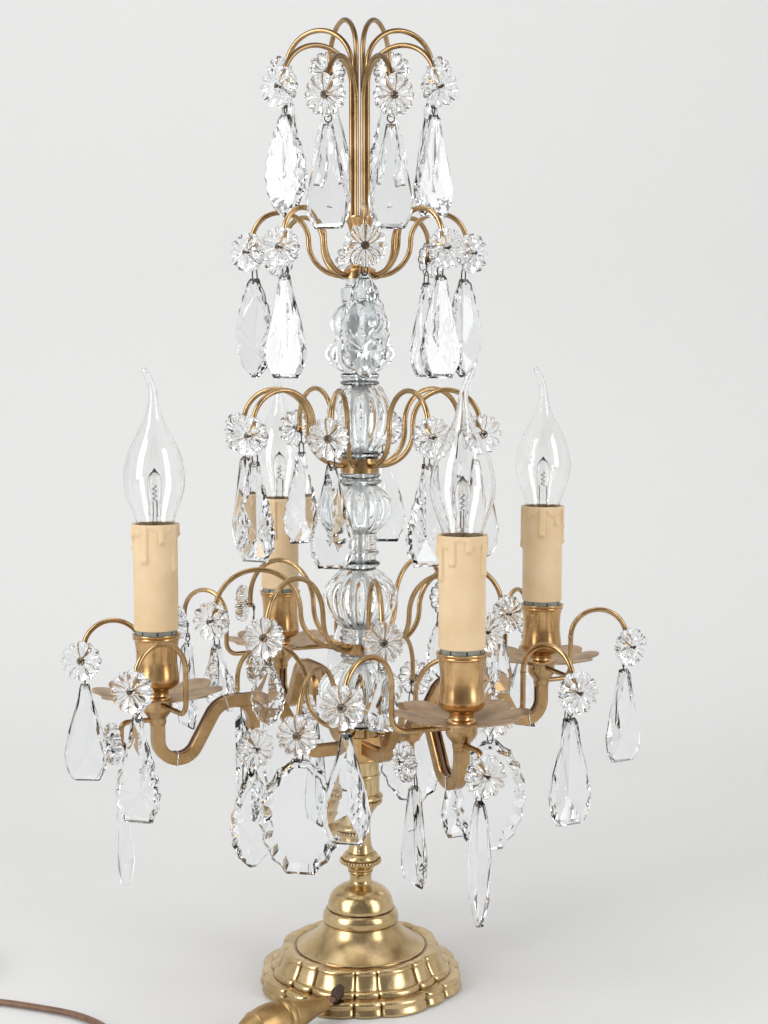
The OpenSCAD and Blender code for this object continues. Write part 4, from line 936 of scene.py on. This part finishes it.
def glassRadius(info, t):
    low, high = info["neck"]
    r = low + (high - low) * t
    for start, end, big, peak in info["knops"]:
        if start < t < end:
            u = (t - start) / (end - start)
            u = 0.5 * u / peak if u < peak else 0.5 + 0.5 * (u - peak) / (1 - peak)
            r = max(r, low + (big - low) * sin(pi * u) ** 0.8)
    for at, big in info["rings"]:
        off = (t - at) * info["h"] / glassSet["ringHalf"]
        if abs(off) < 1:
            r = max(r, big - glassSet["ringRise"] + glassSet["ringRise"] * math.sqrt(1 - off * off))
    return r


# convex lobes on the knops, with a sharp valley between two of them
def gadroons(info):
    def fluted(a, r):
        swell = max(0, r - max(info["neck"])) / glassSet["fullSwell"]
        valley = 1 - abs(cos(a * info["flutes"] / 2))
        return r * (1 - glassSet["valley"] * min(1, swell) * valley)
    return fluted


for index, info in enumerate(columnSet):
    steps = glassSet["steps"] if info["h"] > glassSet["short"] else glassSet["shortSteps"]
    profile = [(glassRadius(info, i / steps), info["z"] + info["h"] * i / steps) for i in range(steps + 1)]
    profile += [(glassSet["bore"], info["z"] + info["h"]), (glassSet["bore"], info["z"])]
    shape = turnedBody(profile, info["flutes"] * glassSet["sidesPerFlute"], gadroons(info), closed=True)
    node = f"glass_{index + 1}" if index < 5 else "glass_cap"
    addPiece(info["name"], shape, columnGlass, 50, "lamp", "column_glass", node)

print("stage: foot and stem")

# cast foot: wide and narrow lobes in turn, two stepped bands and a dished ledge
footSet = {"lobe": 3.7, "wide": 29, "pair": 45, "narrowBulge": 0.6, "turn": 12, "sides": 360}


def lobeBulge(a):
    s, wide = a % footSet["pair"], footSet["wide"]
    if s < wide:
        return sin(pi * (s / wide)) ** 0.5
    return footSet["narrowBulge"] * sin(pi * ((s - wide) / (footSet["pair"] - wide))) ** 0.5


# rows as (radius, height, share of the lobes)
footRows = smoothLine([
    (61.8, 0, 1), corner, (62.8, 0.7, 1), (63, 1.6, 1), (62.3, 3.4, 1), (61.7, 5.2, 1), (62, 6.8, 1),
    (61.6, 8, 1), (60.4, 8.9, 1), (58, 9.1, 0.95), (56, 9.4, 0.88), corner, (55.8, 10.4, 0.86),
    (55.4, 11.5, 0.86), (54.4, 12.4, 0.86), (53, 12.7, 0.86), corner, (52, 14, 0.85), (50.6, 16.4, 0.84),
    (49.4, 19, 0.82), (48.9, 20.6, 0.8), corner, (49, 21.4, 0.78), (48.4, 22.4, 0.76), (47, 23.1, 0.7),
    (45, 23.2, 0.55), (42.6, 22.9, 0.3), (40.9, 22.3, 0.12), (40.4, 21.9, 0.06), corner, (39.7, 21.9, 0.0),
    corner, (39.4, 22.6, 0.0), (39, 23, 0.0)], 4)
footRings = []
for r, z, share in footRows:
    ring = []
    for k in range(footSet["sides"]):
        a = 360 * k / footSet["sides"]
        ring.append(turned((r - footSet["lobe"] * share * (1 - lobeBulge(a)), 0, z), a + footSet["turn"]))
    footRings.append(ring)
addPiece("footCasting", loft(footRings), footBrass, 32, "lamp", "brass", "foot")
paintNode("base_cover", coverPaint)
paintNode("column_rod", rodSteel)
paintNode("hub", brass)

# turned stem: bell, ring, pear neck, beaded knop, beaded collar and plain drum
stemProfile = smoothLine([
    (38.6, 23), corner, (37.4, 23.6), (34.6, 25.2), (31, 27.6), (28, 30.1), (25.4, 32.9), (23.4, 35.7),
    (22.3, 37.4), corner, (22.9, 38.1), (23.1, 39.6), (22.9, 42), (22, 44.2), (20.8, 45.6), corner,
    (19.9, 45.9), (19.9, 46.3), (20.2, 46.6), corner, (20.1, 48), (19.6, 50), (18.6, 52.8), (16.8, 55.6),
    (14, 58), (10.8, 59.6), (8.8, 60.4), corner, (7.6, 61.2), (6.7, 62.6), (6.5, 65), (6.9, 67.2),
    (7.4, 67.8), corner, (7.7, 68.6), (7.3, 69.3), corner, (7.8, 69.8), (8, 70.6), corner, (9.4, 72),
    (10.7, 73.3), (10.8, 74.0), corner, (10.8, 76.2), corner, (11.2, 77.4), (10.4, 79), (9.4, 80),
    (8.9, 80.3), corner, (8.1, 80.5), (8.1, 80.9), corner, (7.6, 82), (6.7, 85), (6.2, 88.6), (6, 93),
    (6.1, 98), (6.7, 102.4), (8, 105.4), (9.6, 107.8), (11, 109.6), (11.4, 110.6), corner, (11.4, 111.2),
    (11.5, 113.2), corner, (13, 113.8), (13.7, 114.6), (13.5, 115.8), (12.4, 116.8), (11.7, 117.4), corner,
    (11.6, 118), (11.5, 127.4), corner, (12.1, 127.8), (12.1, 129), (11.4, 129.8), corner, (11.3, 136),
    (11.8, 138), (12.5, 138.6), (12.5, 139)], 5)
addPiece("turnedStem", turnedBody(stemProfile, 72), footBrass, 30, "lamp", "brass", "stem")
beadRows = [
    {"name": "knopBeads", "count": 40, "ring": 12.0, "height": 75.1, "bead": 0.82},
    {"name": "collarBeads", "count": 42, "ring": 12.5, "height": 112.1, "bead": 0.82},
]
for row in beadRows:
    beads = grow(row["name"], bpy.data.meshes.new(row["name"]), beadTree, {
        "Count": row["count"], "Ring": row["ring"] * mm, "Height": row["height"] * mm,
        "Bead": row["bead"] * mm, "Finish": footBrass})
    finishPiece(beads, "lamp", "brass")

vaseProfile = smoothLine([
    (9.5, 430), corner, (9.5, 431.4), (8.6, 432.2), corner, (6, 433.6), (5, 436.4), (5.2, 438.4),
    (6.4, 439.2), corner, (7.2, 440.4), (7.2, 442), (6.2, 443), (5.6, 443.6), corner, (6.8, 445.2),
    (7.8, 448), (7.2, 450.6), (6.2, 453), (6.4, 455.4), (7.4, 458.4), (8.8, 461.2), (8.8, 462.4), corner,
    (7.6, 462.4), corner, (6.8, 461), (6.8, 456.4), corner, (0.4, 456.4)], 4)
addPiece("crownVase", turnedBody(vaseProfile, 48), brass, 32, "lamp", "brass", "crown_vase")
# the crown wires take the brass with painted top shade
paintNode("crown_wires", crownBrass)
for name in ("upper_tier", "middle_tier", "lower_tier", "hub_hooks", "pan_wires"):
    paintNode(name, wireBrass)

print("stage: arms")

# S-shaped channel arm with an inner spur, an outer lug and an end socket
armSteps = [
    ("run", armSet["start"]), ("turn", armBend[0], armSet["slope"]), ("run", armUp),
    ("turn", armBend[1], -armSet["slope"]), ("run", armFlat), ("turn", armBend[2], -armSet["slope"]),
    ("run", armDown), ("turn", armBend[3], armSet["slope"] + 90),
    ("run", armSet["socketZ"] - armSet["troughZ"] - armBend[3])]
armLine = tracePath(armSteps, armSet["hubFlat"], armSet["hubZ"], 0)
half, wall, soft = armSet["width"] / 2, armSet["wall"], armSet["soft"]
channel = [
    (-half + soft, -half), (half - soft, -half), (half, -half + soft), (half, half - soft),
    (half - soft, half), (half - wall, half), (half - wall, -half + wall), (-half + wall, -half + wall),
    (-half + wall, half), (-half + soft, half), (-half, half - soft), (-half, -half + soft)]
spurSteps = [("run", spurSet["back"]), ("turn", armBend[2], 90), ("run", spurSet["run"])]
spurLine = tracePath(spurSteps, humpX + spurSet["back"], armSet["humpZ"], 180)
spurHalf, spurLow, spurHigh = spurSet["half"], spurSet["low"], spurSet["high"]
spurSection = [
    (-spurHalf + soft, spurLow), (spurHalf - soft, spurLow), (spurHalf, spurLow + soft), (spurHalf, spurHigh),
    (-spurHalf, spurHigh), (-spurHalf, spurLow + soft)]
wire, wireLow, wireHigh = spurSet["wire"], spurEndZ - spurSet["wireDrop"], spurEndZ + spurSet["wireRise"]
spurWire = turnedBody([(0.3, wireLow), (wire, wireLow), (wire, wireHigh), (0.3, wireHigh)], 20)
socketProfile = smoothLine([
    (0.4, 171.6), (4.4, 171.6), corner, (4.9, 173), (5.0, 175.4), (5.6, 176.4), corner, (7.2, 178.4),
    (8.4, 180.4), (8.5, 182.6), corner, (4.0, 182.6)], 4)
lugSteps = [("run", lugSet["run"]), ("turn", lugSet["bend"], -90), ("run", lugSet["drop"])]
lugLine = [(armSet["reach"] + lugSet["start"] + x, 0, armSet["socketZ"] + lugSet["rise"] + z)
           for x, z, h in tracePath(lugSteps, 0, 0, 0, 10)]
lugSection = [polar(lugSet["radius"], a) for a in around(lugSet["sides"])]


# flat eye with a hole, its axis along X, then turned
def flatEye(turn, at):
    profile = [(0.9, -0.9), (2.1, -0.9), (2.3, -0.6), (2.3, 0.6), (2.1, 0.9), (0.9, 0.9)]
    points, faces = turnedBody(profile, 24, closed=True)
    return [turned((z, y, x), turn, at) for x, y, z in points], [f[::-1] for f in faces]


# one arm's shape on all four arms
def onArms(shape):
    return joinShapes([placeShape(shape, turn) for turn in armTurns])


oneArm = joinShapes([
    sweptInPlane(armLine, channel), sweptInPlane(spurLine, spurSection),
    placeShape(spurWire, 0, (spurX, 0, 0)), flatEye(90, spurEye),
    placeShape(turnedBody(socketProfile, 40), 0, (armSet["reach"], 0, 0)),
    sweptBand(lugLine, lugSection, up=(0, 1, 0)), flatEye(0, lugTip)])
addPiece("candleArms", onArms(oneArm), armBrass, 32, "lamp", "brass", "candle_arms")

# brown twin lead in each channel
leadSet = {"gap": 0.3, "lift": 1.1, "rise": 2.8, "valley": 0.2, "sides": 16}
leadHalf = half - wall - leadSet["gap"]
leadSection = twinSection(leadHalf, leadSet["rise"], leadSet["valley"], leadSet["sides"], leadSet["lift"])
addPiece("armLeads", onArms(sweptInPlane(armLine, leadSection)), flexBrown, 50, "lamp", "flex", "arm_leads")

# thin wire ties that hold each lead in its channel, at the hump and in the trough
tieSet = {"radius": 0.3, "side": 3.9, "low": -3.9, "shoulder": 0.6, "high": 4.3, "twelfths": (5, 9)}
tieSide, tieShoulder = tieSet["side"], tieSet["high"] - tieSet["shoulder"]
tieLoop = [(-tieSide, tieSet["low"]), (tieSide, tieSet["low"]), (tieSide, tieShoulder), (0, tieSet["high"]),
           (-tieSide, tieShoulder), (-tieSide, tieSet["low"])]
tieLines = []
for twelfth in tieSet["twelfths"]:
    place = armLine[len(armLine) * twelfth // 12]
    tieLines += [[turned(overPath(place, side, up), turn) for side, up in tieLoop] for turn in armTurns]
finishPiece(drawWires("leadTies", tieLines, tieSet["radius"], 8, rodSteel), "lamp", "rod_steel")

print("stage: pans and candles")

candleAt = [turned((armSet["reach"], 0, 0), turn) for turn in armTurns]


# one upright shape on all four candles
def onCandles(shape):
    return joinShapes([placeShape(shape, 0, at) for at in candleAt])


# pressed sheet pan with eight petals, each a little dished, and a rim that rises
panSet = {"radius": 37, "petals": 8, "notch": 0.71, "flat": 9, "rise": 5.5, "riseCurve": 1.3, "rib": 1.3,
          "ribCurve": 0.6, "ribMiddle": 0.6, "sheet": 0.8, "hole": 3.9, "sides": 192,
          "shares": [0.0, 0.08, 0.16, 0.3, 0.45, 0.6, 0.75, 0.88, 0.97, 1.0]}


def panPoint(a, share):
    petal = 360 / panSet["petals"]
    s = (math.degrees(a) % petal) / petal
    edge = panSet["radius"] * (panSet["notch"] + (1 - panSet["notch"]) * sin(pi * s) ** 0.5)
    r = panSet["hole"] + (edge - panSet["hole"]) * share
    t = max(0, (r - panSet["flat"]) / (panSet["radius"] - panSet["flat"]))
    lift = panSet["rise"] * (1 - (1 - t) ** panSet["riseCurve"])
    ridge = abs(sin(panSet["petals"] / 2 * a)) ** panSet["ribCurve"]
    rib = (ridge - panSet["ribMiddle"]) * panSet["rib"] * t
    return (*polar(r, a), armSet["panZ"] + lift + rib)


under = [[panPoint(a, share) for a in around(panSet["sides"])] for share in panSet["shares"]]
over = [[(x, y, z + panSet["sheet"]) for x, y, z in ring] for ring in under]
onePan = loft(under + over[::-1], closed=True)
panShapes = [placeShape(onePan, turn, at) for turn, at in zip(armTurns, candleAt)]
addPiece("dripPans", joinShapes(panShapes), panBrass, 40, "lamp", "pan_brass", "drip_pans")

cupProfile = smoothLine([
    (0.4, 186.8), (8, 186.8), corner, (8.2, 187.4), (7.6, 188.2), (6.6, 189.4), (6.5, 191.6), (7.2, 192.6),
    corner, (9.8, 193.4), (11.8, 195.2), (12.6, 197.6), (12.5, 200.4), (11.9, 205), (11.6, 209),
    (11.7, 214), (12.2, 218.4), (12.8, 221), corner, (13.3, 221.5), (13.4, 222.3), (13.1, 222.8), corner,
    (13.5, 223.3), (13.8, 224), (13.7, 224.4), corner, (12.9, 224.3), (12.2, 222.8), (11.4, 219),
    (10.7, 215), corner, (10.7, 199.8), corner, (0.4, 199.8)], 4)
addPiece("candleCups", onCandles(turnedBody(cupProfile, 56)), brass, 32, "lamp", "brass", "candle_cups")

# lamp holder with a flange that has notches round it; the near-black plugs in them are painted shade
holderProfile = smoothLine([
    (0.4, 199.9), (10.2, 199.9), corner, (10.2, 223.2), corner, (11.2, 223.2), (11.5, 223.5), corner,
    (11.5, 226.7), (11.2, 227), corner, (10.2, 227), corner, (10.2, 262), corner, (7.3, 262), corner,
    (7.3, 240.2), corner, (0.4, 240.2)], 2)
holderShape = onCandles(turnedBody(holderProfile, 48))
addPiece("lampHolders", holderShape, holderGrey, 32, "lamp", "holder", "lamp_holders")
notchSet = {"count": 8, "apart": 45, "turn": 10, "ring": 10.9, "radius": 0.8, "low": 224.4, "high": 226.3}
notch, low, high = notchSet["radius"], notchSet["low"], notchSet["high"]
notchShape = turnedBody([(0.3, low), (notch, low), (notch, high), (0.3, high)], 12)
notchShapes = []
for at in candleAt:
    for k in range(notchSet["count"]):
        spot = turned((notchSet["ring"], 0, 0), notchSet["apart"] * k + notchSet["turn"], at)
        notchShapes.append(placeShape(notchShape, 0, spot))
addPiece("holderNotches", joinShapes(notchShapes), notchShade, 32, "lamp", "holder")

# candle sleeve with wax runs moulded on from its top edge; runs as (angle, length, width)
sleeveSet = {"z": 227, "height": 60, "inner": 11.2, "outer": 12.5, "sides": 180, "runSwell": 1.3,
             "mostSwell": 1.7, "skirt": 4.6, "skirtWave": 2.2, "skirtSwell": 0.8, "skirtEdge": 0.9,
             "waves": 5, "wavePhase": 40, "lip": 0.35, "lipDepth": 0.6, "runHalf": 0.6, "runEdge": 0.6,
             "bead": 0.35, "tip": 0.5,
             "runs": [(10, 16, 3.2), (52, 9, 2.6), (95, 22, 3.4), (140, 11, 2.8), (178, 27, 3.0),
                      (221, 8, 2.6), (262, 19, 3.4), (305, 12, 2.8), (338, 24, 2.8)]}
sleeveLevels = [0, 0.6] + [2 + 56 * i / 60 for i in range(61)] + [59.0, 59.6, 60]


# how far the wax stands out at an angle in degrees and a depth below the top
def waxSwell(a, down, turn):
    swell = 0.0
    wave = sin(radians(sleeveSet["waves"] * a + sleeveSet["wavePhase"]))
    skirt = sleeveSet["skirt"] + sleeveSet["skirtWave"] * wave
    if down < skirt:
        swell = sleeveSet["skirtSwell"] * min(1, (skirt - down) / sleeveSet["skirtEdge"]) ** 0.5
    for centre, reach, width in sleeveSet["runs"]:
        off = ((a - centre - turn + 180) % 360 - 180) * pi / 180 * sleeveSet["outer"]
        half = width * sleeveSet["runHalf"]
        body = min(1, max(0, (half - abs(off)) / sleeveSet["runEdge"]))
        end = reach - down
        if end > 0:
            bead = 1 + sleeveSet["bead"] * math.exp(-((end - half) / half) ** 2)
            tip = min(1, end / (width * sleeveSet["tip"])) ** 0.5
            swell = max(swell, sleeveSet["runSwell"] * body ** 0.5 * bead * tip)
    return min(swell, sleeveSet["mostSwell"])


def sleeveShape(turn):
    rings, sides = [], sleeveSet["sides"]
    for level in sleeveLevels:
        down = sleeveSet["height"] - level
        lip = -sleeveSet["lip"] * max(0, 1 - down / sleeveSet["lipDepth"])
        ring = []
        for k in range(sides):
            a = 360 * k / sides
            r = sleeveSet["outer"] + waxSwell(a, down, turn) + lip
            ring.append((*polar(r, radians(a)), sleeveSet["z"] + level))
        rings.append(ring)
    for z in (60, 30, 0):
        rings.append([(*polar(sleeveSet["inner"], a), sleeveSet["z"] + z) for a in around(sides)])
    return loft(rings, closed=True)


sleeveShapes = [placeShape(sleeveShape(77 * k), 0, candleAt[k]) for k in range(4)]
addPiece("candleSleeves", joinShapes(sleeveShapes), sleevePlastic, 50, "lamp", "sleeve", "candle_sleeves")

# flame tip bulb: thin blown envelope with a bent tail, screw cap, glass stalk, capsule and lead wires
bulbSet = {"wall": 0.7, "sides": 40, "thinnest": 0.25, "tailZ": 357, "tailLength": 17, "lean": 5.6,
           "tilt": 36, "topZ": 372, "tailTurn": (180, 200, 180, 0), "wire": 0.22}
bulbOuter = smoothLine([
    (7.4, 262.6), (9.2, 266), (10.6, 271), (10.6, 286), (11.4, 290), (13.6, 296), (16.1, 303), (17.3, 310),
    (17.2, 316), (16.2, 322), (14.4, 328), (11.9, 333.4), (9.3, 338.2), (6.9, 342.8), (5.1, 347),
    (3.9, 351), (3.1, 355), (2.6, 359), (2.3, 363), (2.1, 367), (1.9, 370.6), (1.4, 373), (0.8, 374)], 4)
capProfile = [(0.4, 240.5), (2.4, 240.5), (4, 242.4), (6.4, 243.4)]
threadSet = {"turns": 7, "pitch": 2.3, "crest": (6.7, 244.4), "root": (6.2, 245.5)}
for t in range(threadSet["turns"]):
    capProfile += [(r, z + threadSet["pitch"] * t) for r, z in (threadSet["crest"], threadSet["root"])]
capProfile += [(6.6, 261), (7.0, 262.4), (6.8, 264.5), (0.4, 264.5)]
stalkProfile = [
    (0.3, 264), (4.6, 264), (4.2, 268), (3.2, 276), (2.4, 281), (2.1, 284), (1.4, 285.4), (0.3, 286)]
capsuleProfile = [
    (0.3, 291), (3.4, 291.2), (3.6, 293), (3.2, 297), (3.9, 301), (4.1, 309), (3.2, 314),
    (1.3, 316.4), (0.3, 318)]
capShape = turnedBody(smoothLine(capProfile, 2), 36)
stalkShape = turnedBody(smoothLine(stalkProfile, 3), 24)
capsuleShape = turnedBody(smoothLine(capsuleProfile, 3), 24)
bulbInside = [
    {"name": "bulbCap", "shape": capShape, "finish": rodSteel, "angle": 40, "slot": "rod_steel"},
    {"name": "bulbStalk", "shape": stalkShape, "finish": bulbGlass, "angle": 50, "slot": "bulb_glass"},
    {"name": "bulbCapsule", "shape": capsuleShape, "finish": bulbGlass, "angle": 50, "slot": "bulb_glass"},
]
bulbLead = [(1.2, 0, 284), (2.6, 0, 288), (1.6, 0, 292), (1.5, 0, 300)]
filament = [(*polar(0.7, t), 300 + 0.42 * t) for t in [0.55 * q for q in range(38)]]


def bulbSkin(tailTurn, shrink):
    rings = []
    for r, z in bulbOuter:
        t = max(0, (z - bulbSet["tailZ"]) / bulbSet["tailLength"])
        lean = bulbSet["lean"] * t * t
        tilt = radians(bulbSet["tilt"]) * min(t, 1)
        rr = max(r - shrink, bulbSet["thinnest"])
        low = shrink if z > bulbSet["topZ"] else 0
        ring = []
        for a in around(bulbSet["sides"]):
            x, y = polar(rr, a)
            ring.append(turned((lean + x * cos(tilt), y, z - x * sin(tilt) - low), tailTurn))
        rings.append(ring)
    return loft(rings, capped=False)


# outer and inner skin, joined at the neck and closed at the tail
def bulbShape(tailTurn):
    outer, inner = bulbSkin(tailTurn, 0), bulbSkin(tailTurn, bulbSet["wall"])
    points, faces = joinShapes([outer, (inner[0], [f[::-1] for f in inner[1]])])
    base, sides = len(outer[0]), bulbSet["sides"]
    faces += [(i, base + i, base + (i + 1) % sides, (i + 1) % sides) for i in range(sides)]
    faces += [tuple(range(base - sides, base)), tuple(range(2 * base - sides, 2 * base))[::-1]]
    return points, faces


for k, at in enumerate(candleAt):
    body = f"bulb_{k + 1}"
    envelopeShape = placeShape(bulbShape(bulbSet["tailTurn"][k]), 0, at)
    addPiece(f"bulbEnvelope{k + 1}", envelopeShape, bulbGlass, 60, body, "bulb_glass", body)
    for part in bulbInside:
        shape = placeShape(part["shape"], 0, at)
        addPiece(part["name"] + str(k + 1), shape, part["finish"], part["angle"], body, part["slot"])
    wires = [[turned((s * x, y, z), 35 * k, at) for x, y, z in bulbLead] for s in (1, -1)]
    wires.append([turned(p, 0, at) for p in filament])
    finishPiece(drawWires(f"bulbWires{k + 1}", wires, bulbSet["wire"], 6, wireSteel), body, "rod_steel")

for piece in shapeShelf:
    bpy.data.objects.remove(piece)
